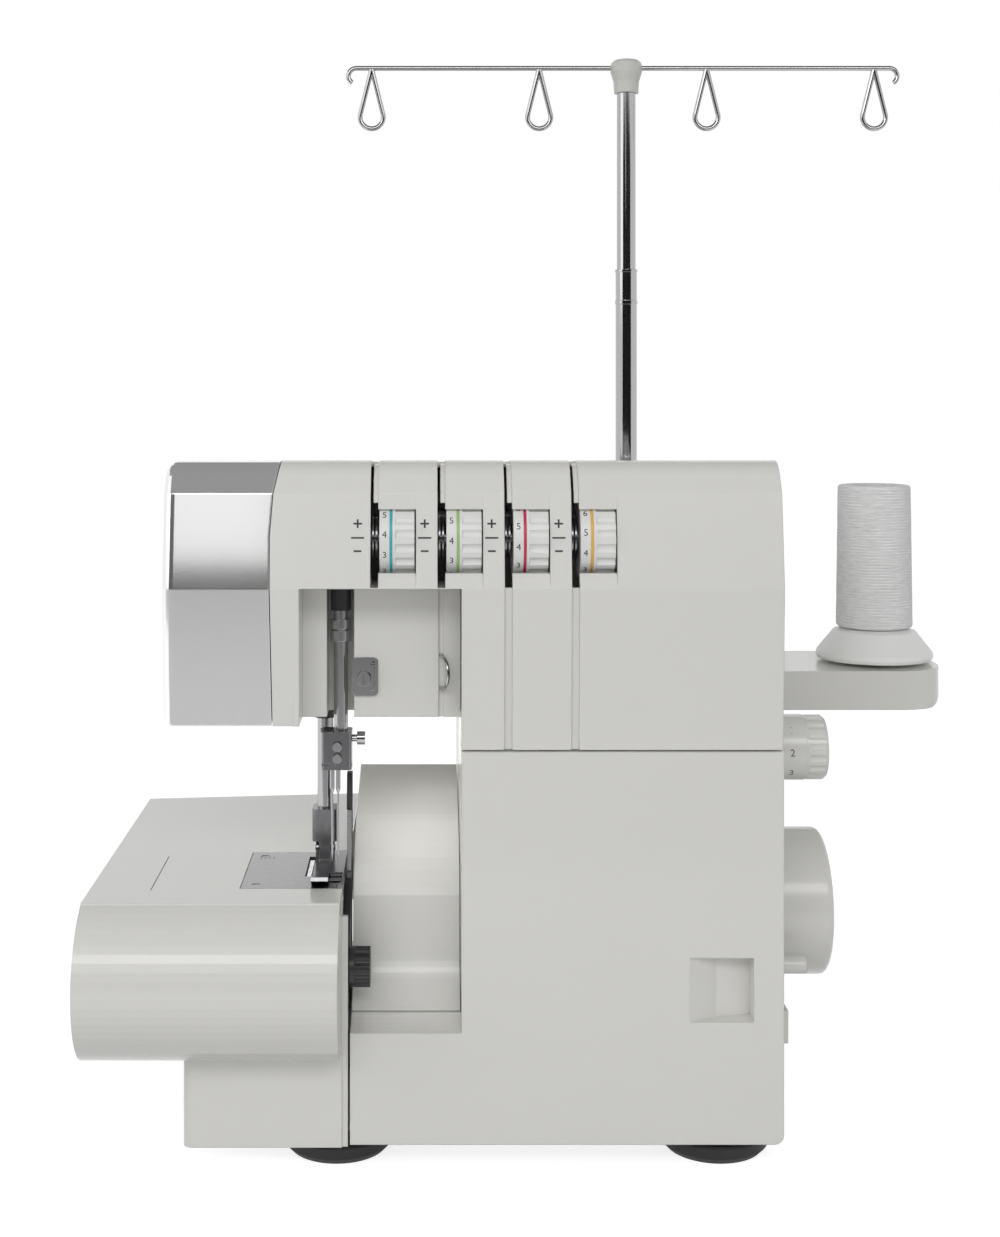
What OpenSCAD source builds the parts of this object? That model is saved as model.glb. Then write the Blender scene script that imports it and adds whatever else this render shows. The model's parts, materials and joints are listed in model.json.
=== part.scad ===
// Four-thread overlock (serger) sewing machine.
// Millimetres, +Z up. The origin lies on the resting surface, midway between
// the table's left edge and the spool stand's right end, and midway in depth.

/* [Casing] */
// Width of the head, from its left end to the column
head_w = 124; // [118:1:140]
// Depth of the casing from the front to the back
body_d = 152; // [140:1:170]
// Width of the column
column_w = 133; // [128:1:150]
// Width of the silver end cap
cap_w = 44.4; // [36:1:50]
// Height of the seam between the upper casing and the looper cover
seam_h = 173; // [165:1:178]
// Height of the underside of the head
head_h = 183; // [180:1:190]
// Height of the ridge, the foremost line of the casing
ridge_h = 240; // [236:1:244]
// Height of the shoulder, where the face turns to the top, above the ridge
face_rise = 39; // [36:1:41]
// Height of the top above the ridge
head_rise = 52; // [50:1:60]
// Wall thickness of the plastic shells
wall = 2.6; // [2:0.1:3.2]
// Gap between neighbouring shells
seam_gap = 0.4; // [0.3:0.05:0.6]
// Height of the rubber feet
foot_h = 9.5; // [7:0.5:14]
// Radius of a rubber foot
foot_r = 24; // [18:0.5:26]

/* [Bed] */
// Height of the cloth surface above the floor
bed_h = 113.4; // [110:0.2:118]
// How far the base reaches left of the looper cover
base_reach = 69; // [66:1:80]
// Width of the waste chute beside the knife
chute_w = 46; // [42:1:50]
// How far the extension table reaches left of the head
table_reach = 31; // [22:1:60]
// How far the table's barrel front stands before the casing
barrel_reach = 30; // [22:1:36]
// Depth of the table behind the casing's front
table_d = 184; // [160:1:200]
// Height of the barrel's underside above the floor
barrel_low = 49; // [47:1:60]
// Thickness of the needle plate
plate_t = 2.8; // [2:0.1:3.4]

/* [Tension dials] */
// Distance from the column's left face to the first thread slot
slot_start = 36; // [34:0.5:38]
// Spacing of the thread slots
slot_pitch = 27.7; // [26:0.1:29]
// Width of a thread slot
slot_w = 3.2; // [2.5:0.1:4]
// Width of a dial window
window_w = 15.6; // [13:0.1:18]
// Height of a dial window
window_h = 25.6; // [22:0.1:28]
// Radius of a tension dial
dial_r = 17; // [16:0.5:17.5]
// How far a dial stands out of its window
dial_proud = 2.2; // [1.5:0.1:3]

/* [Needle and presser foot] */
// Distance from the looper cover's left edge to the needle bar's axis
needle_in = 5; // [4.6:0.1:7]
// Distance of the needle bar's axis behind the casing's front
needle_back = 28; // [26:0.5:30]
// Diameter of the needle bar
needle_bar_d = 6; // [5:0.1:7]
// Diameter of the presser bar
presser_bar_d = 7; // [6:0.1:8]
// Width of the recess in the head round the needle bar
recess_w = 67; // [65:0.5:69]
// Depth of that recess
recess_d = 24; // [20:0.5:25]
// Stroke of the needle bar
needle_stroke = 27; // [20:1:30]

/* [Shafts and controls] */
// Radius of the handwheel
wheel_r = 32.5; // [26:0.5:36]
// How far the handwheel stands out of the right side
wheel_reach = 36; // [28:1:44]
// Height of the main shaft above the floor
shaft_h = 88; // [86:0.5:90]
// Distance of the main shaft behind the casing's front
shaft_back = 85; // [82:1:90]
// Diameter of the main shaft
shaft_d = 10; // [8:0.5:12]
// Radius of the stitch length dial
stitch_r = 14.4; // [11:0.2:16]
// How far the stitch length dial stands out of the right side
stitch_reach = 28.6; // [24:0.2:34]
// Width of the smooth ring on the stitch length dial that carries its numbers
stitch_ring = 18.2; // [12:0.2:20]

/* [Thread stand] */
// How far the spool stand reaches past the right side
stand_reach = 113; // [106:1:122]
// Thickness of the spool stand
stand_t = 19.3; // [14:0.5:22]
// Depth of the spool stand
stand_d = 68; // [62:1:74]
// Height of the spool stand's top above the floor
stand_h = 181; // [176:1:190]
// Spacing of the four spool pins
pin_pitch = 86.5; // [80:0.5:88]
// Radius of a spool pin
pin_r = 3; // [2.4:0.1:3.4]
// Radius of a cone holder's rim
holder_r = 29.6; // [25:0.2:31]
// Radius of a thread cone at its foot
cone_r = 19.4; // [16:0.2:21]
// Height of a thread cone
cone_h = 73; // [60:1:90]
// Outer diameter of the antenna's lower tube
mast_d = 11; // [9:0.2:13]
// Height of the top of the lower tube above the floor
mast_joint_h = 383; // [340:1:390]
// Height of the guide bar above the floor
guide_h = 487; // [475:1:500]
// Diameter of the guide wires
wire_d = 2.6; // [2:0.1:3.2]

/* [Hidden] */
$fn = 64;
// Running fit on a radius, between a shaft and its hole
run_fit = 0.05;
// Gap at rest between two parts that move past one another
rest_gap = 0.3;

// Overall sizes and the frame
stand_front = 156;
body_w = head_w + column_w;
top_h = ridge_h + head_rise;
shoulder_h = ridge_h + face_rise;
overall_w = table_reach + body_w + stand_reach;
overall_d = barrel_reach + stand_front + stand_d;
right_x = overall_w / 2 - stand_reach;
left_x = right_x - body_w;
column_x = right_x - column_w;
cap_x = left_x + cap_w;
cover_x = column_x - chute_w;
base_x = cover_x - base_reach;
table_x = left_x - table_reach;
front_y = -overall_d / 2 + barrel_reach;
rear_y = front_y + body_d;
split_y = front_y + 78;
base_z = foot_h;

// Casing profile
face_back = 6;
toe_back = 4;
crown_back = 22;
crown_r = 14;
rear_r = 12;
top_fall = 7;

// Needle, presser and knife
nx = cover_x - needle_in;
ny = front_y + needle_back;
px = nx - 8;
py = front_y + 52;
gap_left = cover_x - 3.3;
arm_right = gap_left - 0.5;
knife_y = front_y + 12;
knife_z = bed_h - 32.4;
clamp_low = bed_h + 47.6;
clamp_t = 16;
presser_top = ridge_h + 33;

// Bed
plate_x0 = cover_x - 46.3;
plate_y0 = front_y + 12.6;
plate_y1 = front_y + 70;
arm_top = bed_h - plate_t;

// Shafts
shaft_y = front_y + shaft_back;
rocker_y = front_y + 68;
rocker_z = ridge_h + 24;
rocker_tilt = atan(needle_stroke / 2 / (rocker_y - ny));
stud_r = 1.5;
motor_l = 62;
motor_y = shaft_y + 27;
motor_z = base_z + 38;
belt_x = right_x - 22;
motor_end = belt_x - 20;

// Looper cover
cover_y = front_y + 2;
cover_back = front_y + 30;
cover_low = base_z + 1.2;
hinge_y = front_y + 8.4;
hinge_z = base_z + 10.5;
hinge_r = 1.2;
lip_split = -62;

// Thread stand
stand_y = front_y + stand_front;
pin_y = stand_y + stand_d / 2;
last_pin_x = right_x + stand_reach - holder_r;
mast_x = last_pin_x - 1.48 * pin_pitch;

// ---- Shared shapes -------------------------------------------------------

// Extrudes an outline drawn in (y, z) along +X, from x0 to x1
module along_x(x0, x1)
{
    translate([x0, 0, 0]) rotate([90, 0, 90]) linear_extrude(x1 - x0) children();
}

// Box from its two corners
module box(low, high)
{
    translate(low) cube(high - low);
}

// Cylinder along +X from (x, y, z)
module rod_x(x, y, z, length, radius)
{
    translate([x, y, z]) rotate([0, 90, 0]) cylinder(h = length, r = radius);
}

// Cylinder along +Y from (x, y, z)
module rod_y(x, y, z, length, radius)
{
    translate([x, y, z]) rotate([-90, 0, 0]) cylinder(h = length, r = radius);
}

// Cylinder along +Z from (x, y, z)
module rod_z(x, y, z, length, radius)
{
    translate([x, y, z]) cylinder(h = length, r = radius);
}

// Block with its four upright edges rounded
module rounded_block(low, high, radius)
{
    size = high - low;
    translate([low.x, low.y, low.z]) linear_extrude(size.z) union()
    {
        translate([radius, 0]) square([size.x - 2 * radius, size.y]);
        translate([0, radius]) square([size.x, size.y - 2 * radius]);
        for (cx = [radius, size.x - radius], cy = [radius, size.y - radius])
            translate([cx, cy]) circle(radius);
    }
}

function arc(cy, cz, radius, from, to, steps = 8) =
    [for (i = [0:steps]) let (a = from + (to - from) * i / steps)
        [cy + radius * cos(a), cz + radius * sin(a)]];

// How far the face below the ridge leans back at height h
function lean(h) = toe_back * (ridge_h - h) / (ridge_h - seam_h);

// Side outline of the casing in (y, z), drawn in by inset, down to z = low
module casing_side(inset, low)
{
    rear = rear_y - inset;
    back_h = top_h - top_fall - inset;
    polygon(concat(
        [[front_y + lean(low) + inset, low],
         [front_y + inset, ridge_h],
         [front_y + face_back + inset, shoulder_h - inset * 0.3]],
        arc(front_y + crown_back, top_h - crown_r, crown_r - inset, 142, 90, 6),
        arc(rear - rear_r, back_h - rear_r, rear_r, 86, 0, 6),
        [[rear, low]]));
}

function slot_x(i) = column_x - slot_start + i * slot_pitch;
function pin_x(i) = last_pin_x - (3 - i) * pin_pitch;
dial_z = (ridge_h + shoulder_h) / 2 + 0.1;
// The face's own depth at the dials' height
dial_face = front_y + face_back / 2;
dial_y = dial_face - dial_proud + dial_r;

// ---- Casing --------------------------------------------------------------

tray_t = 3;
tray_front = front_y + 19;
recess_x = column_x - recess_w;
channel_w = 5.8;
channel_d = 16;
slot_back = 62;
slit_w = 1.2;
groove_d = 1.4;

module base_tray() color("gainsboro")
{
    inner = wall + 0.2;
    lug_r = hinge_r + 0.9;
    difference()
    {
        union()
        {
            box([base_x + inner, front_y + 2 + inner, base_z],
                [cover_x - 4, rear_y - inner, base_z + tray_t]);
            box([base_x + inner, tray_front, base_z],
                [right_x - inner, rear_y - inner, base_z + tray_t]);
            // Upstand that closes the corner behind the looper cover's side
            box([right_x - inner - 1, tray_front + 0.4, base_z],
                [right_x, cover_back, base_z + tray_t]);
            box([right_x - wall, tray_front + 0.4, base_z], [right_x, cover_back, hinge_z - 1]);
            // Lugs that carry the looper cover's hinge rod
            for (x = [cover_x + 10, right_x - 18])
            {
                rod_x(x, hinge_y, hinge_z, 4, lug_r);
                box([x, hinge_y, hinge_z], [x + 4, tray_front + 4, hinge_z + lug_r]);
                box([x, tray_front, base_z], [x + 4, tray_front + 4, hinge_z + lug_r]);
            }
        }
        rod_x(cover_x, hinge_y, hinge_z, column_w + chute_w, hinge_r + run_fit);
        // Cooling slots under the motor
        for (i = [0:7])
            box([right_x - 84 + 7 * i, motor_y - 18, base_z - 1],
                [right_x - 81 + 7 * i, motor_y + 18, base_z + tray_t + 1]);
    }
}

module bed_casing() color("whitesmoke")
{
    arm_front = front_y + 6;
    arm_back = front_y + 104;
    difference()
    {
        union()
        {
            rounded_base(base_x, front_y + 2, gap_left, rear_y, base_z, step_h, 4);
            rounded_base(base_x, arm_front, gap_left, arm_back, step_h - 1, arm_top, 4);
            // Strip before the knife's gap
            box([gap_left - 4, front_y + 3, base_z], [arm_x1 - 0.2, arm_front - 0.4, bed_h - 9]);
            box([gap_left - 4, front_y + 3, base_z], [gap_left, arm_front + 1, bed_h - 9]);
        }
        rounded_base(base_x + wall, front_y + 2 + wall, gap_left + 5, rear_y - wall,
                     base_z - 1, step_h - wall, 2);
        rounded_base(base_x + wall, arm_front + wall, gap_left + 5, arm_back - wall,
                     base_z + 10, arm_top - wall, 2);
        // Opening under the needle plate
        box([plate_x0 + 4, plate_y0 + 3, arm_top - wall - 1],
            [gap_left + 1, plate_y1 - 3, arm_top + 1]);
        box([knife_low_x - rest_gap, knife_low_y0 - rest_gap, arm_top - wall - 1],
            [gap_left + 1, plate_y0 + 4, arm_top + 1]);
    }
}

// Block with rounded left corners and square right ones
module rounded_base(x0, y0, x1, y1, z0, z1, radius)
{
    translate([0, 0, z0]) linear_extrude(z1 - z0) union()
    {
        translate([x0 + radius, y0]) square([x1 - x0 - radius, y1 - y0]);
        translate([x0, y0 + radius]) square([x1 - x0, y1 - y0 - 2 * radius]);
        for (y = [y0 + radius, y1 - radius]) translate([x0 + radius, y]) circle(radius);
    }
}

// Chute surface in (y, z): a concave sweep, a step and a shelf rising to the back
low_arc = [front_y + 2, bed_h - 25.4, 31.4];
high_arc = [front_y + 80, bed_h - 33.4, 52];
shelf_end = [front_y + 122, bed_h + 28.6];
step_h = barrel_low - 1;

function chute_line(from, out) = concat(
    arc(low_arc.x, low_arc.y, low_arc.z + out, from, -16, 10),
    arc(high_arc.x, high_arc.y, high_arc.z - out, 152, 102, 8));

function reversed(list) = [for (i = [len(list) - 1:-1:0]) list[i]];

module chute_wall() color("whitesmoke")
{
    along_x(cover_x, column_x - rest_gap) polygon(concat(
        chute_line(lip_split + 2, 0),
        [shelf_end, [shelf_end.x, step_h], [rear_y, step_h], [rear_y, base_z],
         [rear_y - wall, base_z], [rear_y - wall, step_h - wall],
         [shelf_end.x - wall, step_h - wall], [shelf_end.x - wall, shelf_end.y - wall - 0.6]],
        reversed(chute_line(lip_split + 2, wall))));
}

module front_casing() color("whitesmoke")
{
    difference()
    {
        intersection()
        {
            union()
            {
                casing_shell();
                recess_walls();
                dial_lugs();
            }
            box([cap_x + seam_gap, front_y - 1, seam_h], [right_x, split_y - 0.2, top_h + 1]);
        }
        cap_side(seam_gap);
        recess_space();
        for (i = [0:3])
        {
            slot_cut(i);
            window_cut(i);
        }
        rod_z(nx, ny, ridge_h - 1, 6, needle_bar_d / 2 + 1.7);
        rod_z(px, py, head_h - 1, 6, presser_bar_d / 2 + 1.7);
        lamp_space(0.2);
    }
}

// Column and head as one hollow shell, open below the column and at the cap
module casing_shell()
{
    difference()
    {
        union()
        {
            along_x(column_x, right_x) casing_side(0, seam_h);
            along_x(cap_x + seam_gap, column_x + 1) casing_side(0, head_h);
        }
        along_x(column_x + wall, right_x - wall) casing_side(wall, seam_h - 1);
        along_x(cap_x - 1, column_x + wall + 1) casing_side(wall, head_h + wall);
    }
}

module recess_walls()
{
    box([recess_x - wall, front_y + wall, head_h],
        [column_x, front_y + recess_d + wall, ridge_h + wall]);
    box([nx - channel_w - wall, front_y + wall, head_h],
        [nx + channel_w + wall, front_y + recess_d + channel_d + wall, ridge_h + wall]);
}

module recess_space()
{
    box([recess_x, front_y - 1, head_h - 1],
        [column_x, front_y + recess_d, ridge_h]);
    box([nx - channel_w, front_y + recess_d - 1, head_h - 1],
        [nx + channel_w, front_y + recess_d + channel_d, ridge_h]);
    // Thread groove below the second slot
    box([slot_x(1) - 1, front_y + recess_d - 1, head_h - 1],
        [slot_x(1) + 1, front_y + recess_d + 1.2, ridge_h]);
}

// A lug right of each dial holds the end of its post
module dial_lugs()
{
    for (i = [0:3])
        box([slot_x(i) + slot_w / 2 + window_w + 1, dial_face + 1, dial_z - 6],
            [slot_x(i) + slot_w / 2 + window_w + 5, dial_y + 6, dial_z + 6]);
}

module slot_cut(i)
{
    x0 = slot_x(i) - slot_w / 2;
    x1 = slot_x(i) + slot_w / 2;
    bend = shoulder_h - 4;
    box([x0, front_y - 1, ridge_h + 0.4], [x1, front_y + slot_back, bend]);
    // Over the shoulder a narrow slit runs along a shallow groove
    box([x0, front_y - 1, bend - 1], [x0 + slit_w, front_y + slot_back, top_h + 1]);
    difference()
    {
        box([x0, front_y - 1, bend], [x1, front_y + slot_back, top_h + 1]);
        along_x(x0 - 1, x1 + 1) casing_side(groove_d, seam_h);
    }
    if (i > 1)
        along_x(x0, x1) polygon([
            [front_y - 1, seam_h - 1], [front_y + lean(seam_h) + 1.6, seam_h - 1],
            [front_y + 1.6, ridge_h + 1], [front_y - 1, ridge_h + 1]]);
}

module window_cut(i)
{
    x0 = slot_x(i);
    x1 = slot_x(i) + slot_w / 2 + window_w;
    box([x0, front_y - 1, dial_z - window_h / 2],
        [x1, front_y + face_back + wall + 1, dial_z + window_h / 2]);
    // Shallow thumb recess above and below the window
    along_x(x0, x1) polygon([
        [front_y - 1, ridge_h + 0.6], [front_y + 0.2, ridge_h + 0.6],
        [front_y + face_back / 2 + 1.4, dial_z - window_h / 2 + 1],
        [front_y + face_back / 2 + 2.2, dial_z + window_h / 2 - 1],
        [front_y + face_back, shoulder_h], [front_y - 1, shoulder_h]]);
    rod_x(slot_x(i) + slot_w, dial_y, dial_z, window_w + 8, post_r + run_fit);
    // Room for the dial behind the window's edges
    rod_x(x0, dial_y, dial_z, x1 - x0, dial_r + rest_gap);
}

module rear_casing() color("whitesmoke")
{
    hole_x = right_x - wall - 1;
    difference()
    {
        union()
        {
            intersection()
            {
                casing_shell();
                box([cap_x + seam_gap, split_y + 0.2, seam_h], [right_x, rear_y, top_h + 1]);
            }
            // Column below the seam, behind the looper cover
            difference()
            {
                box([column_x, cover_back + seam_gap, base_z], [right_x, rear_y, seam_h + 0.01]);
                box([column_x + wall, cover_back - 1, base_z - 1],
                    [right_x - wall, rear_y - wall, seam_h + 1]);
            }
            // Pin of the feed lever
            rod_x(right_x - wall - 5.6, lever_pivot.x, lever_pivot.y, 6, 2);
        }
        cap_side(seam_gap);
        // The upper casing's front half takes the place above the seam
        box([column_x - 1, cover_back - 1, seam_h - seam_gap],
            [right_x + 1, split_y + 0.2, seam_h + 1]);
        for (x = [hole_x, column_x - 1])
            rod_x(x, shaft_y, shaft_h, wall + 2, shaft_d / 2 + 1);
        // Left wall ends above the tray and the frame that pass below it
        box([column_x - 1, cover_back, base_z - 1],
            [column_x + wall + 0.01, rear_y - wall, base_z + tray_t + frame_t + rest_gap]);
        rod_x(hole_x, stitch_y, stitch_z, wall + 2, 3.5);
        feed_slot(hole_x);
        rod_y(px, rear_y - wall - 1, lifter_z, wall + 2, lifter_r + 0.6);
        // Louvres behind the motor
        for (i = [0:6])
            box([right_x - 84 + 8 * i, rear_y - wall - 1, motor_z - 14],
                [right_x - 81 + 8 * i, rear_y + 1, motor_z + 14]);
    }
}

// What lies left of the joint between cap and casing; the joint leans right at the top
module cap_side(gap)
{
    lean_top = 3.8;
    translate([0, rear_y + 1, 0]) rotate([90, 0, 0]) linear_extrude(body_d + 2) polygon([
        [left_x - 1, head_h - 1], [cap_x + gap + 1.2, head_h - 1],
        [cap_x + gap + 0.2, ridge_h], [cap_x + gap, ridge_h + face_rise * 0.55],
        [cap_x + gap + 1.3, shoulder_h], [cap_x + gap + lean_top, top_h],
        [cap_x + gap + lean_top, top_h + 1], [left_x - 1, top_h + 1]]);
}

module end_cap() color("silver")
{
    corner = 5;
    difference()
    {
        intersection()
        {
            hull() for (a = [0:18:90])
            {
                x = left_x + corner * (1 - sin(a));
                inset = corner * (1 - cos(a));
                along_x(x, a == 0 ? cap_x + corner : x + 0.02)
                    casing_side(inset, head_h + inset);
            }
            cap_side(0);
        }
        along_x(left_x + wall + 2, cap_x + corner + 1) casing_side(wall + 0.6, head_h + wall);
    }
}

// ---- Looper cover --------------------------------------------------------

module looper_cover() color("whitesmoke")
{
    top = seam_h - seam_gap - 0.1;
    difference()
    {
        union()
        {
            intersection()
            {
                cover_shell(top);
                cover_face(top);
            }
            cover_lip();
            // Knuckles round the hinge rod
            for (x = [cover_x + 20, right_x - 46])
            {
                rod_x(x, hinge_y, hinge_z, 14, 3.4);
                box([x, cover_y + 1, hinge_z - 3.4], [x + 14, hinge_y, hinge_z + 3.4]);
            }
            // Pocket behind the finger recess
            box([grip_x0 - wall, cover_y, grip_z0 - wall],
                [grip_x1 + wall, cover_y + grip_depth + wall, grip_z1 + wall]);
        }
        rod_x(cover_x - 1, hinge_y, hinge_z, column_w + chute_w + 2, hinge_r + run_fit);
        grip_recess();
        // The top falls to the back, so that it clears the casing as the cover opens
        along_x(column_x - 1, right_x + 1) polygon([
            [hinge_y + 3, top + 0.01], [cover_back + 1, top - 2.4], [cover_back + 1, top + 1]]);
    }
}

grip_x0 = right_x - 39;
grip_x1 = right_x - 12.4;
grip_z0 = 61;
grip_z1 = 87.6;
grip_depth = 11;

// Finger recess, flush at its left edge and deepest at its right wall
module grip_recess()
{
    translate([0, 0, grip_z0]) linear_extrude(grip_z1 - grip_z0) polygon([
        [grip_x0, cover_y - 1], [grip_x1, cover_y - 1],
        [grip_x1, cover_y + grip_depth], [grip_x0 + 12, cover_y + grip_depth - 4],
        [grip_x0, cover_y]]);
}

// Front outline of the cover in (x, z): tall at the column, low at the chute
module cover_face(top)
{
    corner = 4;
    translate([0, cover_back + 1, 0]) rotate([90, 0, 0]) linear_extrude(40)
        polygon(concat(
            [[cover_x, cover_low]],
            arc(right_x - corner, cover_low + corner, corner, -90, 0, 6),
            [[right_x, top], [column_x, top], [column_x, chute_front_h],
             [cover_x, chute_front_h]]));
}

chute_front_h = low_arc.y - low_arc.z;

module cover_shell(top)
{
    box([cover_x, cover_y, cover_low], [right_x, cover_y + wall, top]);
    box([column_x, cover_y, top - wall], [right_x, cover_back, top]);
    box([right_x - wall, cover_y, hinge_z + 0.2], [right_x, cover_back, top]);
    box([column_x, cover_y, hinge_z + 0.2], [column_x + wall, cover_back, top]);
    box([cover_x, cover_y, hinge_z + 0.2], [cover_x + wall, cover_y + 12, chute_front_h]);
}

// The cover's share of the chute, curving up from the front edge
module cover_lip()
{
    start = -90;
    along_x(cover_x, column_x + 0.5) polygon(concat(
        [[cover_y, chute_front_h - wall]],
        arc(low_arc.x, low_arc.y, low_arc.z, start, lip_split, 5),
        reversed(arc(low_arc.x, low_arc.y, low_arc.z + wall, start, lip_split, 5))));
}

module cover_hinge_rod() color("silver")
{
    rod_x(cover_x + 7, hinge_y, hinge_z, column_w + chute_w - 22, hinge_r);
}

// ---- Extension table -----------------------------------------------------

table_right = gap_left - 0.3;
table_back = front_y + table_d - 6;
barrel_chord = (bed_h - barrel_low) / 2;
barrel_r = barrel_chord / sin(70);

module extension_table() color("whitesmoke")
{
    difference()
    {
        union()
        {
            barrel();
            table_top();
            // Left end and back skirts
            box([table_x, front_y, barrel_low], [table_x + wall, table_back - 4, bed_h - 0.5]);
            box([table_x, table_back - 4 - wall, barrel_low + 14],
                [table_right, table_back - 4, bed_h - 0.5]);
        }
        box([plate_x0 - rest_gap, plate_y0 - rest_gap, bed_h - 6],
            [table_right + 1, plate_y1 + rest_gap, bed_h + 1]);
    }
}

module barrel()
{
    difference()
    {
        along_x(table_x, table_right) barrel_side(0);
        along_x(table_x + wall, table_right - wall) barrel_side(wall);
    }
}

// Barrel outline in (y, z): a round front closed by a flat back
module barrel_side(inset)
{
    polygon(concat(
        arc(front_y - barrel_reach + barrel_r, barrel_low + barrel_chord, barrel_r - inset,
            110, 250, 24),
        [[front_y + wall - inset, barrel_low + inset],
         [front_y + wall - inset, bed_h - inset]]));
}

// Deck of the table; its back edge runs out further at the right
module table_top()
{
    translate([0, 0, arm_top + rest_gap]) linear_extrude(plate_t - rest_gap)
        polygon([[table_x, front_y - 9], [table_right, front_y - 9],
                 [table_right, table_back + 8], [table_x, table_back - 4]]);
}

// ---- Needle plate and knives --------------------------------------------

module needle_plate() color("lightslategray")
{
    difference()
    {
        box([plate_x0, plate_y0, arm_top], [table_right, plate_y1, bed_h]);
        // Needle hole
        rounded_block([nx - 5.6, needle_y - 2, arm_top - 1],
                      [nx + 0.2, needle_y + 2, bed_h + 1], 1);
        for (x = dog_rows)
            box([x - 0.5, dog_y0 - 3, arm_top - 1], [x + dog_w + 0.5, dog_y1 + 3, bed_h + 1]);
        box([knife_low_x - 0.3, knife_low_y0 - 0.3, arm_top - 1],
            [table_right + 1, knife_low_y1 + 0.3, bed_h + 1]);
        for (y = [plate_y0 + 6, plate_y1 - 6])
            rod_z(plate_x0 + 6, y, arm_top - 1, plate_t + 2, 1.7);
    }
}

knife_low_x = table_right - 2.4;
knife_low_y0 = front_y + 13.5;
knife_low_y1 = front_y + 19.5;

module lower_knife() color("silver")
{
    box([knife_low_x, knife_low_y0, bed_h - 30], [table_right, knife_low_y1, bed_h - 0.1]);
}

// The upper knife, its arm and its knob turn together about the knob's axis
arm_x0 = gap_left + 0.3;
arm_x1 = cover_x - 0.7;
blade_y = front_y + 42;

module knife_arm() color("dimgray")
{
    difference()
    {
        union()
        {
            rod_x(arm_x0, knife_y, knife_z, arm_x1 - arm_x0, 6);
            along_x(arm_x0, arm_x1) polygon([
                [knife_y - 4, knife_z + 3], [knife_y + 5, knife_z - 3],
                [blade_y + 4, bed_h - 6], [blade_y + 4, bed_h + 42],
                [blade_y - 1, bed_h + 42], [blade_y - 4, bed_h + 30],
                [blade_y - 4, bed_h + 27], [blade_y, bed_h + 27],
                [blade_y, bed_h + 10], [blade_y - 6, bed_h - 2]]);
        }
        rod_x(arm_x0 - 1, knife_y, knife_z, 5, 2.5 + 0.02);
    }
}

module upper_knife() color("silver")
{
    along_x(arm_x0 + 0.3, arm_x1 - 0.3) polygon([
        [blade_y - 6, bed_h + 1], [blade_y - 0.1, bed_h + 10.2],
        [blade_y - 0.1, bed_h + 26.9], [blade_y - 5, bed_h + 26.9]]);
}

module knife_knob() color("black")
{
    knob_r = 8.2;
    rod_x(arm_x0, knife_y, knife_z, 4, 2.5);
    difference()
    {
        rod_x(arm_x1 + 0.2, knife_y, knife_z, 8.6, knob_r);
        for (a = [0:30:330])
            translate([0, knife_y, knife_z]) rotate([a, 0, 0])
                rod_x(arm_x1 + 2.4, 0, knob_r + 0.9, 9, 1.8);
    }
}

// ---- Needle bar ----------------------------------------------------------

module needle_bar() color("silver")
{
    stud_z = rocker_z + needle_stroke / 2;
    rod_z(nx, ny, clamp_low + 2, stud_z + 6 - clamp_low - 2, needle_bar_d / 2);
    // Driving block and stud, moved by the rocker's arm
    rounded_block([nx - 5, ny - 5, stud_z - 4], [nx + 5, ny + 5, stud_z + 4], 1);
    rod_x(nx + 4, ny, stud_z, 6.4, stud_r);
    // Collar with the needle thread guide
    difference()
    {
        rod_z(nx, ny, ridge_h - 25, 9, needle_bar_d / 2 + 1.4);
        rod_z(nx, ny, ridge_h - 20.6, 0.8, needle_bar_d / 2 + 2);
    }
}

module needle_clamp() color("gray")
{
    difference()
    {
        union()
        {
            rounded_block([nx - 8, ny - 7, clamp_low], [nx + 4.8, ny + 5, clamp_low + clamp_t],
                          1.5);
            rod_z(nx - 7.6, ny - 3, clamp_low + clamp_t - 0.5, 1.4, 1);
        }
        rod_z(nx, ny, clamp_low - 1, clamp_t + 3, needle_bar_d / 2 + 0.02);
        // Groove for the thread across the front
        box([nx - 9, ny - 8, clamp_low + 1.6], [nx - 2, ny - 6.2, clamp_low + 2.8]);
    }
}

needle_gap = 2.5;
needle_y = ny - 5;

module needles() color("silver")
{
    for (side = [-0.5, 0.5]) translate([nx - 2.2 + side * needle_gap, needle_y, 0])
    {
        rod_z(0, 0, clamp_low - 8, 8, 1);
        translate([0, 0, clamp_low - 10]) cylinder(h = 2, r1 = 0.45, r2 = 1);
        rod_z(0, 0, clamp_low - 36, 26, 0.45);
        translate([0, 0, clamp_low - 39]) cylinder(h = 3, r1 = 0.05, r2 = 0.45);
    }
}

module needle_screws() color("silver")
{
    for (z = [5, 10])
    {
        difference()
        {
            rod_y(nx - 1.2, ny - 8.6, clamp_low + z, 1.6, 1.9);
            box([nx - 1.6, ny - 9, clamp_low + z - 2], [nx - 0.8, ny - 8, clamp_low + z + 2]);
        }
    }
    rod_x(nx + 4.8, ny - 1, clamp_low + 12.5, 2.2, 1.5);
    rod_x(nx + 7, ny - 1, clamp_low + 12.5, 3.4, 2.8);
}

module bar_bushes() color("black")
{
    difference()
    {
        union()
        {
            rod_z(nx, ny, ridge_h - 12, 15, needle_bar_d / 2 + 1.4);
            rod_z(px, py, head_h - 5, 14, presser_bar_d / 2 + 1.4);
            rod_z(px, py, head_h + wall, 3, presser_bar_d / 2 + 4);
            rod_z(nx, ny, ridge_h + wall, 2.4, needle_bar_d / 2 + 3.4);
        }
        rod_z(nx, ny, ridge_h - 14, 20, needle_bar_d / 2 + run_fit);
        rod_z(px, py, head_h - 7, 20, presser_bar_d / 2 + run_fit);
    }
}

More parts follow.
